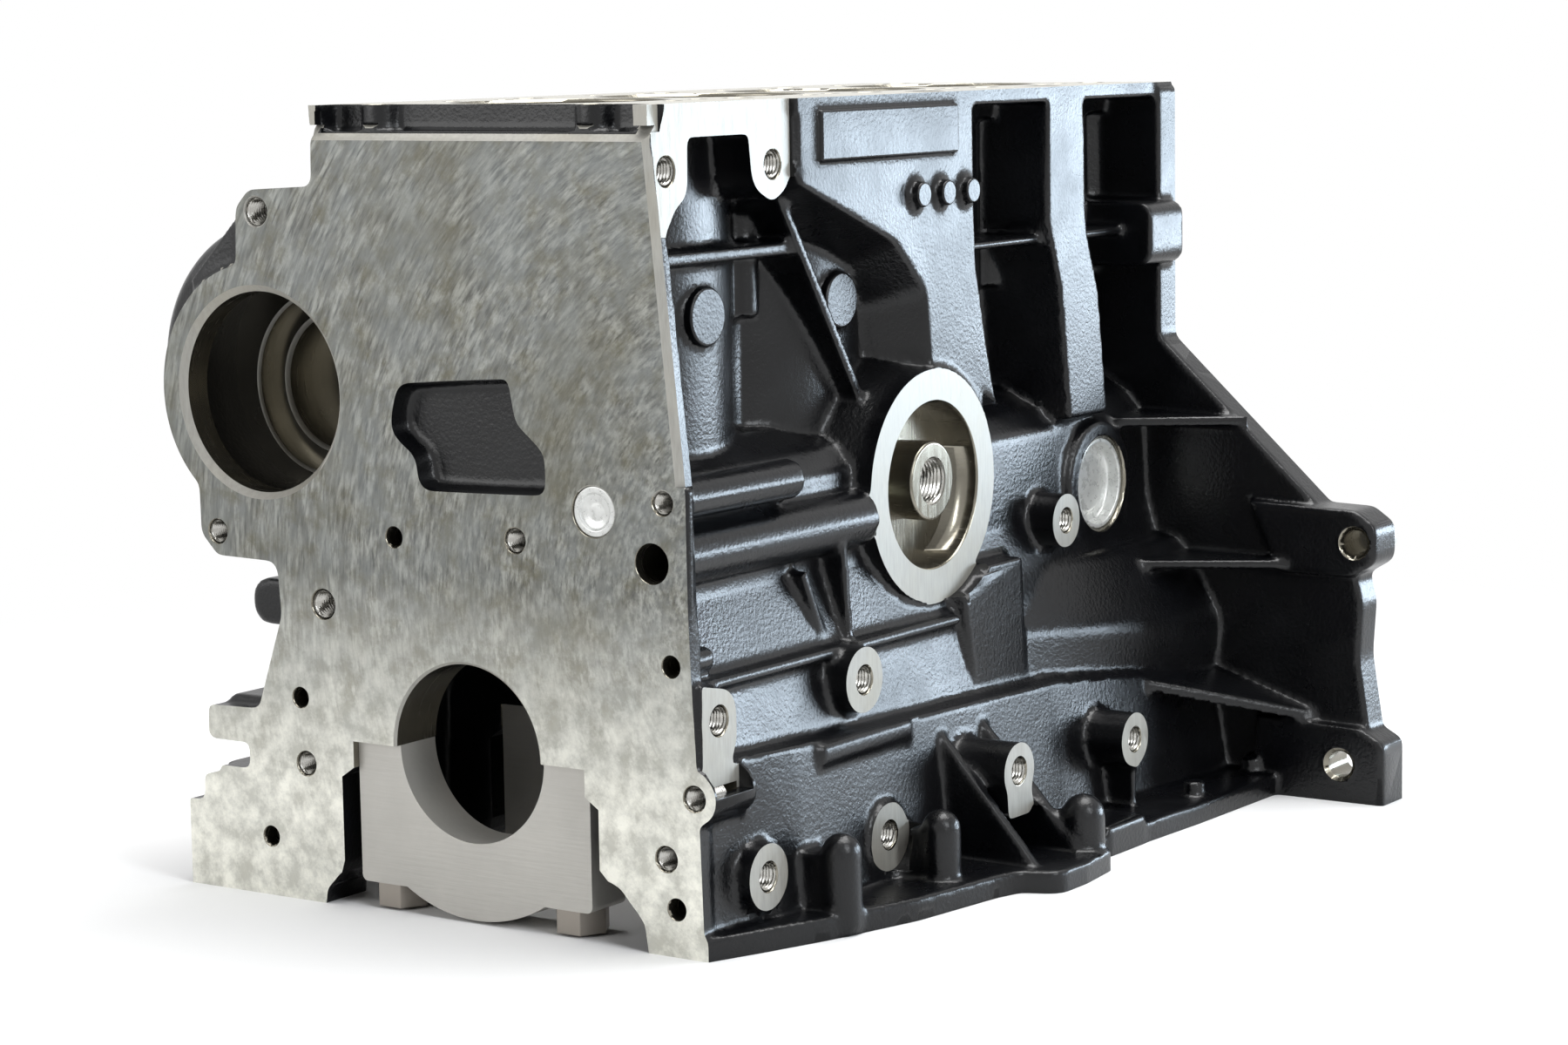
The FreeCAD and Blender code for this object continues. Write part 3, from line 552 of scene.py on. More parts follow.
class BLOCK_OT_casting(bpy.types.Operator):
    """Builds the cast skin and machines its faces, bores and holes"""
    bl_idname = "engine_block.casting"
    bl_label = "Cylinder block"

    def execute(self, context):
        sizes = context.scene.engine_block_sizes
        block = copy_of_node("cylinder_block", "block_casting")
        add_allowance(block, sizes.allowance / MM)
        for plug in hole_plugs():
            carve(block, [plug], "UNION")
        activate(block)
        block.data.remesh_voxel_size = sizes.voxel
        bpy.ops.object.voxel_remesh()
        block = keep_largest(block)
        apply_modifier(block, "SMOOTH", factor=0.5, iterations=sizes.smoothing)
        for step in range(2 * sizes.tautening):
            apply_modifier(block, "SMOOTH", factor=-0.53 if step % 2 else 0.5, iterations=1)
        apply_modifier(block, "DECIMATE", ratio=sizes.skin_faces / (2 * len(block.data.polygons)))
        carve(block, raised_marks(), "UNION")
        for cutter in plane_cutters():
            carve(block, [cutter])
        carve(block, [prism(TUNNEL, start - 2, end + 2) for start, end in BULKHEADS])
        for step in (0, 1, 2):
            carve(block, drill_cutters(step))
        hub = ease_edges(bar("x", *HUB, HUB_RADIUS, 76, HUB_FACE, 64), 1.2, 3)
        carve(block, [hub], "UNION")
        carve(block, [bar("x", *HUB, FILTER_THREAD_RADIUS, HUB_FACE + 1, 64, 64)])
        block.name = "block_casting"
        block.data.name = "block_casting"
        give_finishes(block, *SKIN_FINISHES)
        index = skin_finishes(*polygon_data(block.data))
        block.data.polygons.foreach_set("material_index", index)
        block.data.update()
        shade(block, 38)
        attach(block, "root")
        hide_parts("cylinder_block")
        return {"FINISHED"}


def wide_chamfers(centres, normals):
    """Marks the bright chamfers at the mouths of the large bores."""
    found = np.zeros(len(centres), bool)
    for axis, u, v, radius, mouth, bottom, chamfer in drillings():
        if axis == "y" and radius > 25 and chamfer:
            away = np.hypot(centres[:, 0] - u, centres[:, 2] - v)
            found |= (near(centres[:, 1], mouth, chamfer + 0.05)
                      & between(away, radius - 0.1, radius + chamfer + 0.1)
                      & (np.abs(normals[:, 1]) < 0.9))
    return found


def raised_marks():
    """The bare label field, three round pips and two discs that stand out of the casting."""
    marks = [ease_edges(brick(85, 92.3, 102, 198, 212.5, 231.5), 1.2)]
    marks += [ease_edges(bar("x", y, 197.5, 4.9, 85, 94.5, 32), 0.8) for y in (169, 187, 205)]
    marks += [ease_edges(bar("x", y, 158.5, 10.9, 62, 73.2, 64), 1.2, 3) for y in BORES[:2]]
    return marks


# ------------------------------------------------------------------ threads
THREAD_SIDES = 28
# Height of a thread as a share of its pitch, and where threads start and end below a mouth.
THREAD_SHARE = 0.62
FIRST_TURN, LAST_TURN = 0.6, 14
BOLT_PITCH = 1.3


def thread(axis, u, v, radius, mouth, bottom, pitch):
    """A threaded sleeve that lines a drilled hole."""
    length = abs(bottom - mouth)
    steps = max(4, int(4 * (length / pitch)))
    bpy.ops.mesh.primitive_grid_add(x_subdivisions=THREAD_SIDES, y_subdivisions=steps, size=1.0)
    sleeve = bpy.context.object
    points = rows(sleeve.data.vertices, "co")
    angle = (points[:, 0] + 0.5) * 2 * math.pi
    depth = (points[:, 1] + 0.5) * length
    phase = (depth / pitch + angle / (2 * math.pi)) % 1.0
    height = THREAD_SHARE * pitch * (1 - np.abs(2 * phase - 1))
    away = radius + 0.05 - height * np.clip(depth / pitch, 0, 1)
    inward = 1 if bottom > mouth else -1
    level = mouth + inward * depth
    first = u + away * np.cos(angle)
    second = v + away * np.sin(angle)
    columns = {"x": (level, first, second), "y": (first, level, second),
               "z": (first, second, level)}[axis]
    write_millimetres(sleeve, np.stack(columns, axis=1))
    weld(sleeve)
    centres, normals = polygon_data(sleeve.data)
    offset = in_millimetres(np.array(along(axis, u, v, (mouth + bottom) / 2))) - centres
    offset[:, "xyz".index(axis)] = 0
    if (offset * normals).sum() < 0:
        sleeve.data.flip_normals()
    sleeve.matrix_world.identity()
    return sleeve


class BLOCK_OT_threads(bpy.types.Operator):
    """Cuts the threads that show in the tapped holes"""
    bl_idname = "engine_block.threads"
    bl_label = "Threads"

    def execute(self, context):
        sleeves = [thread("y", x, z, radius, FIRST_TURN, LAST_TURN, radius * 0.26)
                   for x, z, radius, depth in FACE_HOLES if radius > 3.9]
        sleeves += [thread("x", y, z, hole, face - FIRST_TURN, face - LAST_TURN, BOLT_PITCH)
                    for y, z, radius, face, hole in SIDE_BOSSES]
        sleeves += [thread("x", y, z, BOLT_HOLE_RADIUS, FRAME_FACE - FIRST_TURN,
                           FRAME_FACE - LAST_TURN, BOLT_PITCH) for y, z in FRAME_BOLTS]
        sleeves += [thread("z", x, y, HEAD_BOLT_RADIUS, DECK - 6, DECK - 24, 1.4)
                    for x, y in HEAD_BOLTS]
        sleeves.append(thread("x", *HUB, FILTER_THREAD_RADIUS, 90.8, 70, 1.6))
        threads = join(sleeves, "tapped_threads")
        bpy.ops.object.shade_smooth_by_angle(angle=math.radians(60))
        give_finishes(threads, "cut_thread")
        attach(threads, "root")
        return {"FINISHED"}


# ------------------------------------------------------------------ caps, bolts and plugs
def bevelled_copy(node, name, width, angle):
    """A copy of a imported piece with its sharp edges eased."""
    piece = copy_of_node(node, name)
    apply_modifier(piece, "DECIMATE", decimate_type="DISSOLVE", angle_limit=math.radians(0.5))
    return ease_edges(piece, width, angle=angle)


def shade(piece, angle):
    """Shades smoothly up to an angle, and keeps flat faces flat."""
    activate(piece)
    bpy.ops.object.shade_smooth_by_angle(angle=math.radians(angle))
    apply_modifier(piece, "WEIGHTED_NORMAL", mode="FACE_AREA", weight=50, keep_sharp=True)


def give_finishes(piece, *names):
    """Gives a piece its finishes, in the order of their numbers."""
    piece.data.materials.clear()
    for name in names:
        piece.data.materials.append(finishes()[name])


def dress(piece, node, finish, angle=35):
    """Shades a piece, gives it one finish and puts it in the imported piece's place."""
    shade(piece, angle)
    give_finishes(piece, finish)
    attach(piece, "root")
    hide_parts(node)


class BLOCK_OT_caps(bpy.types.Operator):
    """Eases the edges of the five main bearing caps"""
    bl_idname = "engine_block.caps"
    bl_label = "Main bearing caps"

    def execute(self, context):
        for number in range(1, 6):
            node = "main_cap_%d" % number
            cap = bevelled_copy(node, "bearing_cap_%d" % number, 0.7, 32)
            dress(cap, node, "cap_iron")
        return {"FINISHED"}


class BLOCK_OT_cap_bolts(bpy.types.Operator):
    """Finishes the ten hexagon-headed cap bolts"""
    bl_idname = "engine_block.cap_bolts"
    bl_label = "Cap bolts"

    def execute(self, context):
        bolts = bevelled_copy("main_cap_bolts", "cap_bolt_set", 0.8, 40)
        dress(bolts, "main_cap_bolts", "bolt_steel")
        return {"FINISHED"}


def rounded(profile):
    """A profile of radius and level; a third number rounds that corner by four short steps."""
    points = []
    for i, point in enumerate(profile):
        here = Vector(point[:2])
        if len(point) < 3:
            points.append(here)
            continue
        before, after = [here + (Vector(profile[j][:2]) - here).normalized() * point[2]
                         for j in (i - 1, i + 1)]
        for share in (0.0, 0.25, 0.5, 0.75, 1.0):
            points.append(before * (1 - share) ** 2 + here * 2 * share * (1 - share)
                          + after * share ** 2)
    return points


def turned(name, axis, u, v, profile):
    """A round piece spun from its half profile and placed on an axis."""
    piece = drawn(name, [(point.x, 0, point.y) for point in rounded(profile)])
    edit_all()
    bpy.ops.mesh.spin(steps=96, angle=2 * math.pi, center=(0, 0, 0), axis=(0, 0, 1))
    bpy.ops.mesh.select_all(action="SELECT")
    bpy.ops.mesh.remove_doubles(threshold=WELD_DISTANCE)
    bpy.ops.mesh.normals_make_consistent(inside=False)
    bpy.ops.object.mode_set(mode="OBJECT")
    piece.location = along(axis, u, v, 0)
    piece.rotation_euler = AXIS_TURN[axis]
    finish_place(piece)
    piece.data.calc_loop_triangles()
    numbers = np.empty(3 * len(piece.data.loop_triangles), np.int32)
    piece.data.loop_triangles.foreach_get("vertices", numbers)
    points = rows(piece.data.vertices, "co")[numbers.reshape(-1, 3)]
    first, second, third = points.transpose(1, 0, 2)
    if (first * np.cross(second, third)).sum() < 0:
        piece.data.flip_normals()
    return piece


# Room between a plug or dowel and its hole.
PLUG_GAP = 0.02


def cup_profile(radius, face, inward, depth):
    """A pressed cup with a rolled rim and a shallow step in its floor."""
    sheet = 2.0
    rim, floor, back = face + inward, face + inward * (depth - sheet), face + inward * depth
    return [(0, back), (radius, back, 2.0), (radius, rim, 0.8), (radius - sheet, rim, 0.8),
            (radius - sheet, floor, 1.8), (radius - 5.5, floor, 0.6),
            (radius - 7.0, floor - inward * 0.9, 0.6), (0, floor - inward * 0.9)]


class BLOCK_OT_plugs(bpy.types.Operator):
    """Turns the pressed core plugs, the gallery plugs and the dowels"""
    bl_idname = "engine_block.plugs"
    bl_label = "Plugs and dowels"

    def execute(self, context):
        cup = turned("core_plug_filter", "x", *CORE_PLUG,
                     cup_profile(CORE_PLUG_RADIUS - PLUG_GAP, CORE_PLUG_FACE, -1, 9.0))
        dress(cup, "core_plug_filter_side", "bright_steel", 50)
        for number, y in enumerate(BORES[1:], 1):
            cup = turned("core_plug_pump_%d" % number, "x", y, PUMP_PLUG_HEIGHT,
                         cup_profile(PUMP_PLUG_RADIUS - PLUG_GAP, PUMP_PLUG_FACE, 1, 8.0))
            dress(cup, "core_plug_pump_side_%d" % number, "bright_steel", 50)
        radius = GALLERY_RADIUS - PLUG_GAP
        for node, start, inward in (("gallery_plug_front", 0, 1),
                                    ("gallery_plug_rear", LENGTH, -1)):
            outline = [(0, 10), (radius, 10, 0.5), (radius, 0.5, 0.7), (6.9, 0.5, 0.4),
                       (6.2, 1.4, 0.5), (3.4, 2.0, 0.6), (0, 1.6)]
            plug = turned(node + "_turned", "y", *GALLERY,
                          [(away, start + inward * deep, *round_off)
                           for away, deep, *round_off in outline])
            dress(plug, node, "bright_steel", 50)
        radius = DOWEL_RADIUS - PLUG_GAP
        for side, (x, z) in zip(("filter", "pump"), FLANGE_HOLES[:2]):
            sleeve = turned("ring_dowel_" + side, "y", x, z,
                            [(5.5, 373), (5.5, 364, 0.6), (radius, 364, 0.8),
                             (radius, 382, 1.4), (5.5, 382, 0.6), (5.5, 373)])
            dress(sleeve, "bell_housing_dowel_%s_side" % side, "bright_steel", 50)
        return {"FINISHED"}


# ------------------------------------------------------------------ finishes
def add_node(tree, kind, inputs=None, **settings):
    """Adds a node; its inputs take numbers, colours or the outputs of other nodes."""
    made = tree.nodes.new(kind)
    for key, value in settings.items():
        setattr(made, key, value)
    for key, value in (inputs or {}).items():
        if isinstance(value, bpy.types.NodeSocket):
            tree.links.new(value, made.inputs[key])
        else:
            made.inputs[key].default_value = value
    return made


class Finish:
    """A small writer of node trees: each call adds one node and returns its output."""

    def __init__(self, name):
        """Starts a material with one shader and the object's coordinates."""
        self.material = bpy.data.materials.new(name)
        self.material.use_nodes = True
        self.tree = self.material.node_tree
        self.tree.nodes.clear()
        self.shader = self.node("ShaderNodeBsdfPrincipled")
        self.node("ShaderNodeOutputMaterial", {"Surface": self.shader.outputs["BSDF"]})
        self.place = self.node("ShaderNodeTexCoord").outputs["Object"]

    def node(self, kind, inputs=None, **settings):
        """Adds a node to this material."""
        return add_node(self.tree, kind, inputs, **settings)

    def stretched(self, scale):
        """Object coordinates with their own scale on each axis."""
        mapping = self.node("ShaderNodeMapping", {"Vector": self.place, "Scale": scale})
        return mapping.outputs["Vector"]

    def noise(self, scale, detail, roughness, where=None):
        """Noise over the object, or over other coordinates."""
        noise = self.node("ShaderNodeTexNoise",
                          {"Vector": self.place if where is None else where, "Scale": scale,
                           "Detail": detail, "Roughness": roughness})
        return noise.outputs["Fac"]

    def ramp(self, value, stops):
        """Colours at positions along a value."""
        ramp = self.node("ShaderNodeValToRGB", {"Fac": value})
        elements = ramp.color_ramp.elements
        while len(elements) < len(stops):
            elements.new(0.5)
        for element, (position, colour) in zip(elements, stops):
            element.position = position
            element.color = (*colour, 1.0)
        return ramp.outputs["Color"]

    def shaded(self, value, colour, share):
        """A colour where a value is high, and a darker share of it where it is low."""
        return self.ramp(value, [(0.3, [c * share for c in colour]), (0.7, colour)])

    def levels(self, value, low, high, out_low, out_high):
        """A value moved from one range to another."""
        node = self.node("ShaderNodeMapRange",
                         {"Value": value, "From Min": low, "From Max": high,
                          "To Min": out_low, "To Max": out_high})
        return node.outputs["Result"]

    def mixed(self, factor, first, second):
        """Two colours mixed by a factor."""
        first, second = [colour if isinstance(colour, bpy.types.NodeSocket) else (*colour, 1.0)
                         for colour in (first, second)]
        return self.node("ShaderNodeMix", {0: factor, 6: first, 7: second},
                         data_type="RGBA").outputs[2]

    def added(self, first, second, share):
        """A value plus a share of another."""
        return self.node("ShaderNodeMath", {0: second, 1: share, 2: first},
                         operation="MULTIPLY_ADD").outputs[0]

    def scaled(self, value, factor):
        """A value times a number."""
        return self.node("ShaderNodeMath", {0: value, 1: factor},
                         operation="MULTIPLY").outputs[0]

    def done(self, colour, roughness, height, distance, strength, **values):
        """Wires colour, roughness and relief to the shader, and gives the material."""
        bump = self.node("ShaderNodeBump",
                         {"Height": height, "Distance": distance, "Strength": strength})
        for key, value in (("Base Color", colour), ("Roughness", roughness),
                           ("Normal", bump.outputs["Normal"])):
            self.tree.links.new(value, self.shader.inputs[key])
        for key, value in values.items():
            self.shader.inputs[key].default_value = value
        return self.material


def casting_paint(look):
    """Black paint over sand-cast iron: an orange-peel gloss over a fine grain."""
    finish = Finish("casting_paint")
    grain = finish.noise(1300.0, 3.0, 0.6)
    peel = finish.noise(640.0, 1.0, 0.5)
    swell = finish.noise(60.0, 2.0, 0.5)
    dust = finish.noise(18.0, 5.0, 0.65)
    colour = finish.shaded(swell, look.paint, 0.7)
    colour = finish.mixed(finish.levels(dust, 0.52, 0.75, 0.0, 0.35), colour, look.dust)
    height = finish.added(finish.added(peel, grain, 0.5), swell, 0.8)
    return finish.done(colour, finish.levels(dust, 0.35, 0.7, 0.22, 0.36), height, 0.0004, 0.3,
                       IOR=1.42)


def swirl(finish, centre, across, around):
    """Object coordinates bent into arcs about a centre, as a wide cutter leaves them."""
    shift = finish.node("ShaderNodeVectorMath", {0: finish.place, 1: centre},
                        operation="SUBTRACT")
    flat = finish.node("ShaderNodeVectorMath", {0: shift.outputs[0], 1: (1.0, 0.0, 1.0)},
                       operation="MULTIPLY").outputs[0]
    length = finish.node("ShaderNodeVectorMath", {0: flat}, operation="LENGTH")
    parts = finish.node("ShaderNodeSeparateXYZ", {"Vector": flat})
    negative = finish.scaled(parts.outputs["X"], -1.0)
    angle = finish.node("ShaderNodeMath", {0: parts.outputs["Z"], 1: negative},
                        operation="ARCTAN2").outputs[0]
    bent = finish.node("ShaderNodeCombineXYZ",
                       {"X": finish.scaled(length.outputs["Value"], across),
                        "Y": finish.scaled(angle, around)})
    return bent.outputs["Vector"]


def milled_front(look):
    """The stained timing face: arcs of a wide cutter, dark flecks, oily patches, and a painted
    reflection that makes its lower part pale.
    """
    finish = Finish("milled_front")
    centre = place(165, 0, 55)
    fine = finish.noise(1.0, 3.0, 0.6, swirl(finish, centre, 620.0, 22.0))
    broad = finish.noise(1.0, 4.0, 0.6, swirl(finish, centre, 210.0, 14.0))
    flecks = finish.noise(95.0, 5.0, 0.7)
    cloud = finish.noise(16.0, 4.0, 0.6)
    warmth = finish.noise(42.0, 3.0, 0.6)
    height = finish.node("ShaderNodeSeparateXYZ", {"Vector": finish.place})
    # Painted reflection: a weight that grows towards the bottom of the timing face.
    low_reflection = finish.levels(height.outputs["Z"], DATUM.z - 0.02, DATUM.z + 0.065, 1.0, 0.0)
    dark, bright = [[c * share for c in look.front] for share in (0.28, 1.3)]
    base = finish.ramp(fine, [(0.33, dark), (0.55, look.front), (0.8, bright)])
    base = finish.mixed(finish.levels(broad, 0.41, 0.58, 0.65, 0.0), base, dark)
    base = finish.mixed(finish.levels(flecks, 0.48, 0.66, 0.0, 0.7), base, look.stain)
    base = finish.mixed(finish.levels(cloud, 0.46, 0.68, 0.0, 0.55), base, look.stain)
    warm = finish.mixed(finish.levels(warmth, 0.40, 0.60, 0.0, 0.35), base, (0.21, 0.23, 0.235))
    # The pale colour, broken up by the flecks, is a painted reflection on the lower timing face.
    pale = finish.mixed(finish.levels(flecks, 0.35, 0.6, 0.95, 0.5), warm, look.pale)
    return finish.done(finish.mixed(low_reflection, warm, pale),
                       finish.levels(broad, 0.3, 0.7, 0.36, 0.52),
                       finish.added(fine, flecks, 0.6), 0.00022, 0.5, Metallic=0.35)


def milled_iron(look):
    """Clean milled iron: fine straight cutter lines and a light bloom."""
    finish = Finish("milled_iron")
    lines = finish.noise(1.0, 3.0, 0.6, finish.stretched((700.0, 700.0, 90.0)))
    cloud = finish.noise(30.0, 5.0, 0.65)
    base = finish.shaded(lines, look.iron, 0.8)
    base = finish.mixed(finish.levels(cloud, 0.45, 0.7, 0.0, 0.4), base, (0.34, 0.31, 0.24))
    return finish.done(base, finish.levels(lines, 0.3, 0.7, 0.34, 0.48), lines, 0.00015, 0.4,
                       Metallic=0.25)


def bored_iron(look):
    """Bored and drilled iron: bright rings, darker than the milled faces; the dark colour is partly
    the iron's own and partly painted shade inside the bores.
    """
    finish = Finish("bored_iron")
    rings = finish.noise(1.0, 2.0, 0.5, finish.stretched((60.0, 900.0, 60.0)))
    base = finish.shaded(finish.noise(40.0, 4.0, 0.6), look.bore, 0.7)
    return finish.done(base, finish.levels(rings, 0.3, 0.7, 0.16, 0.28), rings, 0.00015, 0.35,
                       Metallic=0.95)


def cap_iron(look):
    """The iron of the bearing caps: cutter lines over a soft cloud."""
    finish = Finish("cap_iron")
    lines = finish.noise(1.0, 2.0, 0.5, finish.stretched((60.0, 900.0, 900.0)))
    cloud = finish.noise(24.0, 5.0, 0.6)
    return finish.done(finish.shaded(cloud, look.cap, 0.85),
                       finish.levels(lines, 0.3, 0.7, 0.42, 0.55),
                       finish.added(lines, cloud, 0.5), 0.0002, 0.3, Metallic=0.45)


def plain_steel(name, colour, roughness, metallic):
    """Steel of one colour with light scuffs."""
    finish = Finish(name)
    scuff = finish.noise(320.0, 3.0, 0.6)
    return finish.done(finish.shaded(scuff, colour, 0.8),
                       finish.levels(scuff, 0.3, 0.7, roughness - 0.05, roughness + 0.1),
                       scuff, 0.0002, 0.2, Metallic=metallic)


def finishes():
    """All finishes, made once."""
    look = bpy.context.scene.engine_block_look
    if "casting_paint" not in bpy.data.materials:
        for finish in (casting_paint, milled_front, milled_iron, bored_iron, cap_iron):
            finish(look)
        plain_steel("bolt_steel", (0.10, 0.09, 0.08), 0.40, 0.6)
        plain_steel("bright_steel", (0.72, 0.73, 0.71), 0.28, 0.4)
        plain_steel("cut_thread", (0.50, 0.49, 0.46), 0.24, 1.0)
    return bpy.data.materials


# ------------------------------------------------------------------ camera, floor and light
# The camera: its place in millimetres about the datum, and heading, dip and roll in degrees.
CAMERA_PLACE = (846.03, -1033.15, 261.97)
CAMERA_TURN = (34.270, 7.626, 0.9206)
LENS = 85.12
SENSOR = 36.0
WHITE = (1.0, 1.0, 1.0, 1.0)


def aim(obj, position, heading, dip, roll):
    """Puts an object at a position and turns it by heading, dip and roll in degrees."""
    turn, dip, lean = math.radians(heading), math.radians(dip), math.radians(roll)
    forward = Vector((-math.sin(turn) * math.cos(dip), math.cos(turn) * math.cos(dip),
                      -math.sin(dip)))
    right = forward.cross(Vector((0, 0, 1))).normalized()
    down = forward.cross(right)
    right, down = (right * math.cos(lean) + down * math.sin(lean),
                   down * math.cos(lean) - right * math.sin(lean))
    matrix = obj.matrix_world.to_4x4()
    for row in range(3):
        matrix[row][0], matrix[row][1], matrix[row][2] = right[row], -down[row], -forward[row]
        matrix[row][3] = position[row]
    obj.matrix_world = matrix


def soft_light(name, position, target, size, power, colour=(1, 1, 1)):
    """A rectangular lamp that faces a target."""
    data = bpy.data.lights.new(name, "AREA")
    data.shape = "RECTANGLE"
    data.size, data.size_y = size
    data.energy = power
    data.color = colour
    lamp = bpy.data.objects.new(name, data)
    bpy.context.collection.objects.link(lamp)
    lamp.location = position
    lamp.rotation_euler = (Vector(target) - Vector(position)).to_track_quat("-Z", "Y").to_euler()


def background_rays(tree):
    """One for the rays that see the background: from the camera, in gloss and through glass."""
    path = add_node(tree, "ShaderNodeLightPath")
    seen = path.outputs["Is Camera Ray"]
    for name in ("Is Glossy Ray", "Is Transmission Ray"):
        seen = add_node(tree, "ShaderNodeMath", {0: seen, 1: path.outputs[name]},
                        operation="MAXIMUM").outputs[0]
    return seen


def mix_shaders(tree, factor, first, second, ending):
    """Mixes two shaders by a factor, and joins the mix to a new output node."""
    mix = add_node(tree, "ShaderNodeMixShader",
                   {"Fac": factor, 1: first.outputs[0], 2: second.outputs[0]})
    add_node(tree, ending, {"Surface": mix.outputs[0]})


class BLOCK_OT_stage(bpy.types.Operator):
    """Sets the floor, the soft lights, the white surround and the camera"""
    bl_idname = "engine_block.stage"
    bl_label = "Stage and camera"

    def execute(self, context):
        look = context.scene.engine_block_look
        bpy.ops.mesh.primitive_plane_add(size=24.0, location=(0, 0, block_low.z))
        floor = finish_place(context.object)
        floor.name = "studio_floor"
        floor.data.materials.append(floor_finish())
        world = bpy.data.worlds.new("studio")
        context.scene.world = world
        world.use_nodes = True
        tree = world.node_tree
        tree.nodes.clear()
        dim, white = [add_node(tree, "ShaderNodeBackground", {"Color": WHITE, "Strength": power})
                      for power in (look.surround, 1.0)]
        mix_shaders(tree, background_rays(tree), dim, white, "ShaderNodeOutputWorld")
        soft_light("key", (1.7, -0.6, 1.1), (0, 0, 0.12), (0.5, 1.0), look.key, (0.92, 0.96, 1))
        soft_light("front", (-1.1, -1.9, 0.8), (0, -0.1, 0.12), (1.6, 1.2), look.fill)
        soft_light("top", (0.1, 0.2, 1.7), (0, 0, 0.1), (1.4, 1.4), look.top)
        soft_light("rim", (1.05, 1.35, 0.20), (0.05, 0.0, 0.2), (1.1, 0.30), look.rim,
                   (0.72, 0.86, 1))
        data = bpy.data.cameras.new("camera")
        camera = bpy.data.objects.new("camera", data)
        context.collection.objects.link(camera)
        aim(camera, place(*CAMERA_PLACE), *CAMERA_TURN)
        data.sensor_width = SENSOR
        data.lens = LENS
        data.clip_start = 0.05
        data.clip_end = 50.0
        context.scene.camera = camera
        context.scene.view_settings.view_transform = "Standard"
        return {"FINISHED"}


def floor_finish():
    """A pale floor that takes the shadow near the block and fades to plain white."""
    material = bpy.data.materials.new("studio_floor")
    material.use_nodes = True
    tree = material.node_tree
    tree.nodes.clear()
    pale = add_node(tree, "ShaderNodeBsdfDiffuse", {"Color": (0.9, 0.9, 0.9, 1)})
    white = add_node(tree, "ShaderNodeEmission")
    spot = add_node(tree, "ShaderNodeTexCoord")
    length = add_node(tree, "ShaderNodeVectorMath", {0: spot.outputs["Object"]},
                      operation="LENGTH")
    fade = add_node(tree, "ShaderNodeMapRange",
                    {"Value": length.outputs["Value"], "From Min": 0.28, "From Max": 0.75},
                    interpolation_type="SMOOTHSTEP")
    seen = add_node(tree, "ShaderNodeMath",
                    {0: fade.outputs["Result"], 1: background_rays(tree)}, operation="MULTIPLY")
    mix_shaders(tree, seen.outputs[0], pale, white, "ShaderNodeOutputMaterial")
    return material


# ------------------------------------------------------------------ the add-on
def length(name, description, default):
    """A length in metres that the user may change."""
    return FloatProperty(name=name, description=description, default=default,
                         subtype="DISTANCE", unit="LENGTH")


def count(name, description, default):
    """A whole number that the user may change."""
    return IntProperty(name=name, description=description, default=default)


def tint(name, description, default):
    """A colour that the user may change."""
    return FloatVectorProperty(name=name, description=description, default=default, size=3,
                               subtype="COLOR", min=0, max=1)


def power(name, description, default):
    """The power of a light, in watts."""
    return FloatProperty(name=name, description=description, default=default, unit="POWER")


class EngineBlockSizes(bpy.types.PropertyGroup):
    """Sizes of the cast skin"""
    allowance: length("Machining allowance", "Stock cut from cast faces", 0.003)
    voxel: length("Skin grain", "Grid size of the cast skin", 0.0016)
    smoothing: count("Fillet passes", "Smoothing passes on the cast skin", 8)
    tautening: count("Even passes", "Passes that smooth but don't shrink", 10)
    skin_faces: count("Skin faces", "Triangles kept in the cast skin", 170000)


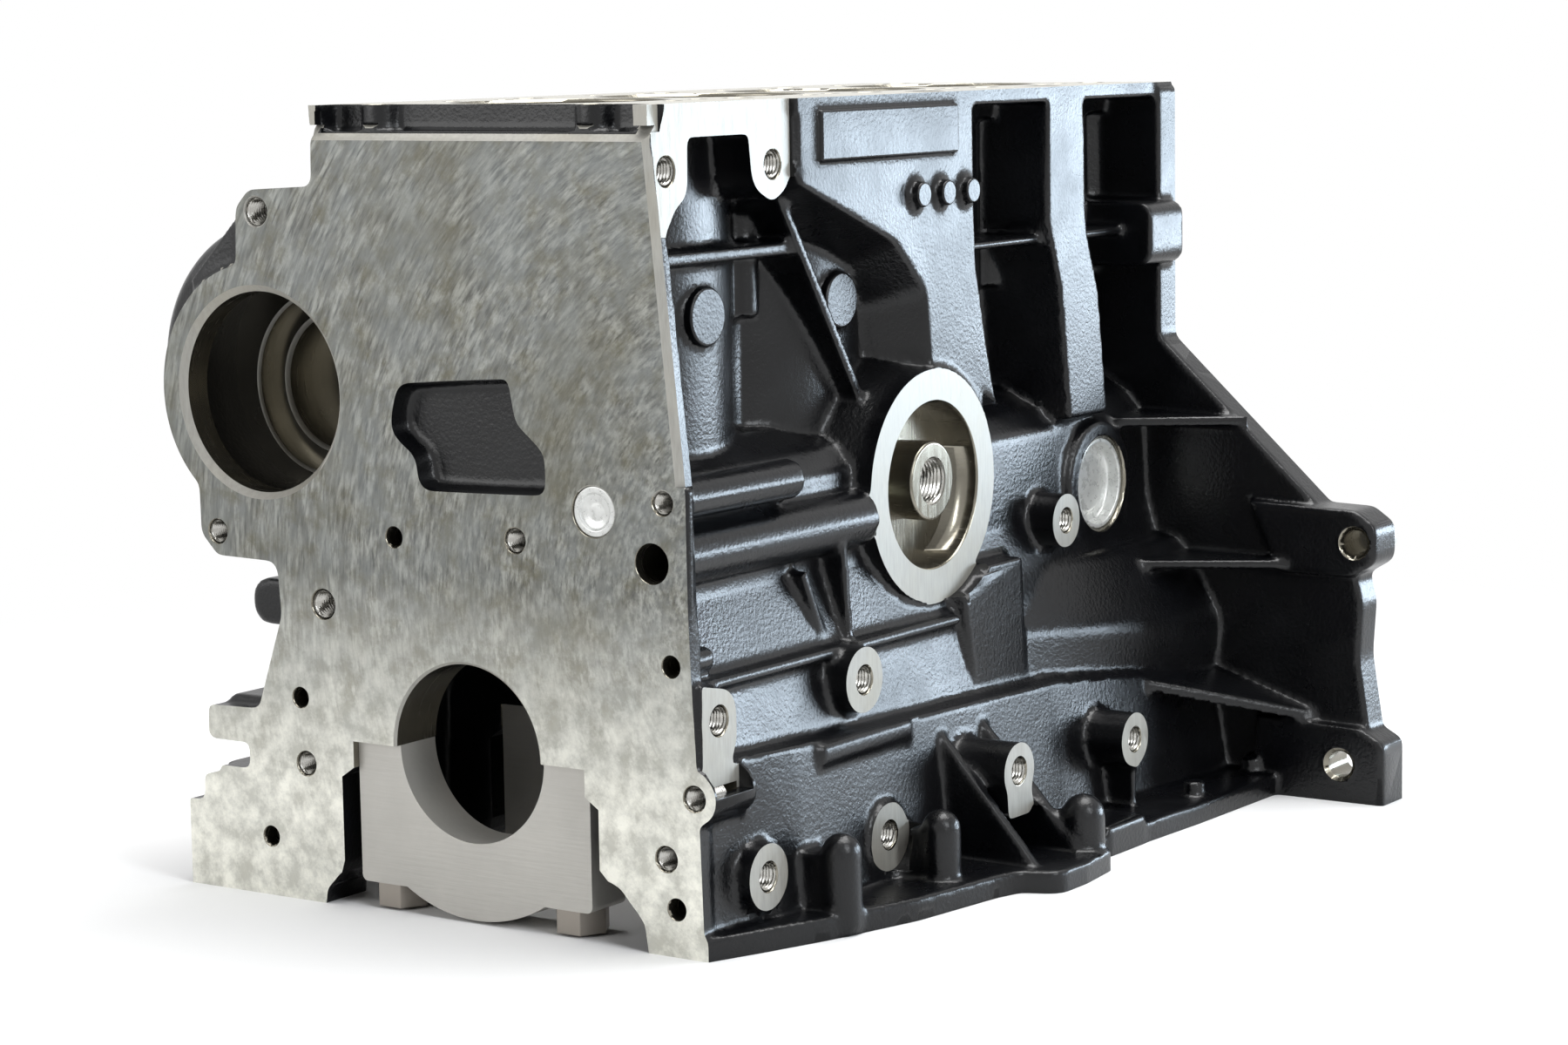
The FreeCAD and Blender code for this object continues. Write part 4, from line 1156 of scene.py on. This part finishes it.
class EngineBlockLook(bpy.types.PropertyGroup):
    """Colours of the finishes, and powers of the lights"""
    paint: tint("Paint", "Black paint of the cast skin", (0.0016, 0.0018, 0.0026))
    dust: tint("Dust", "Grey bloom on the paint", (0.004, 0.0046, 0.006))
    iron: tint("Milled iron", "Bare milled faces", (0.39, 0.38, 0.345))
    front: tint("Front face", "Stained timing face", (0.30, 0.305, 0.278))
    stain: tint("Stain", "Oily flecks on the timing face", (0.105, 0.096, 0.058))
    # The pale face colour is a painted reflection on the lower part of the timing face.
    pale: tint("Pale face", "Lower part of the timing face", (0.93, 0.92, 0.83))
    # The bore colour is partly painted shade: it is kept dark so that the bores and holes look
    # shaded inside.
    bore: tint("Bores", "Bored and drilled iron", (0.26, 0.243, 0.20))
    cap: tint("Caps", "Bearing cap iron", (0.50, 0.485, 0.45))
    surround: FloatProperty(name="Surround", description="Strength of the white surround",
                            default=0.05)
    key: power("Key light", "Power of the key light", 15.0)
    fill: power("Front light", "Power of the front light", 16.0)
    top: power("Top light", "Power of the light above", 46.0)
    rim: power("Rim light", "Power of the light behind", 19.0)


class BLOCK_PT_panel(bpy.types.Panel):
    """Lists the sizes, the looks and the steps"""
    bl_label = "Engine Block"
    bl_idname = "BLOCK_PT_panel"
    bl_space_type = "VIEW_3D"
    bl_region_type = "UI"
    bl_category = "Engine Block"

    def draw(self, context):
        """Shows each property and each operator"""
        for group in (context.scene.engine_block_sizes, context.scene.engine_block_look):
            for name in group.bl_rna.properties.keys():
                if name not in ("rna_type", "name"):
                    self.layout.prop(group, name)
        for operator in OPERATORS:
            self.layout.operator(operator.bl_idname)


OPERATORS = [BLOCK_OT_casting, BLOCK_OT_threads, BLOCK_OT_caps, BLOCK_OT_cap_bolts,
             BLOCK_OT_plugs, BLOCK_OT_stage]
CLASSES = [EngineBlockSizes, EngineBlockLook] + OPERATORS + [BLOCK_PT_panel]


def register():
    """Registers the classes and gives the scene their properties."""
    for cls in CLASSES:
        bpy.utils.register_class(cls)
    bpy.types.Scene.engine_block_sizes = PointerProperty(type=EngineBlockSizes)
    bpy.types.Scene.engine_block_look = PointerProperty(type=EngineBlockLook)


def unregister():
    """Takes back what register gave."""
    del bpy.types.Scene.engine_block_look
    del bpy.types.Scene.engine_block_sizes
    for cls in reversed(CLASSES):
        bpy.utils.unregister_class(cls)


def main():
    """Builds all pieces and the stage."""
    register()
    bpy.ops.engine_block.casting()
    bpy.ops.engine_block.threads()
    bpy.ops.engine_block.caps()
    bpy.ops.engine_block.cap_bolts()
    bpy.ops.engine_block.plugs()
    bpy.ops.engine_block.stage()


if __name__ == "__main__":
    main()
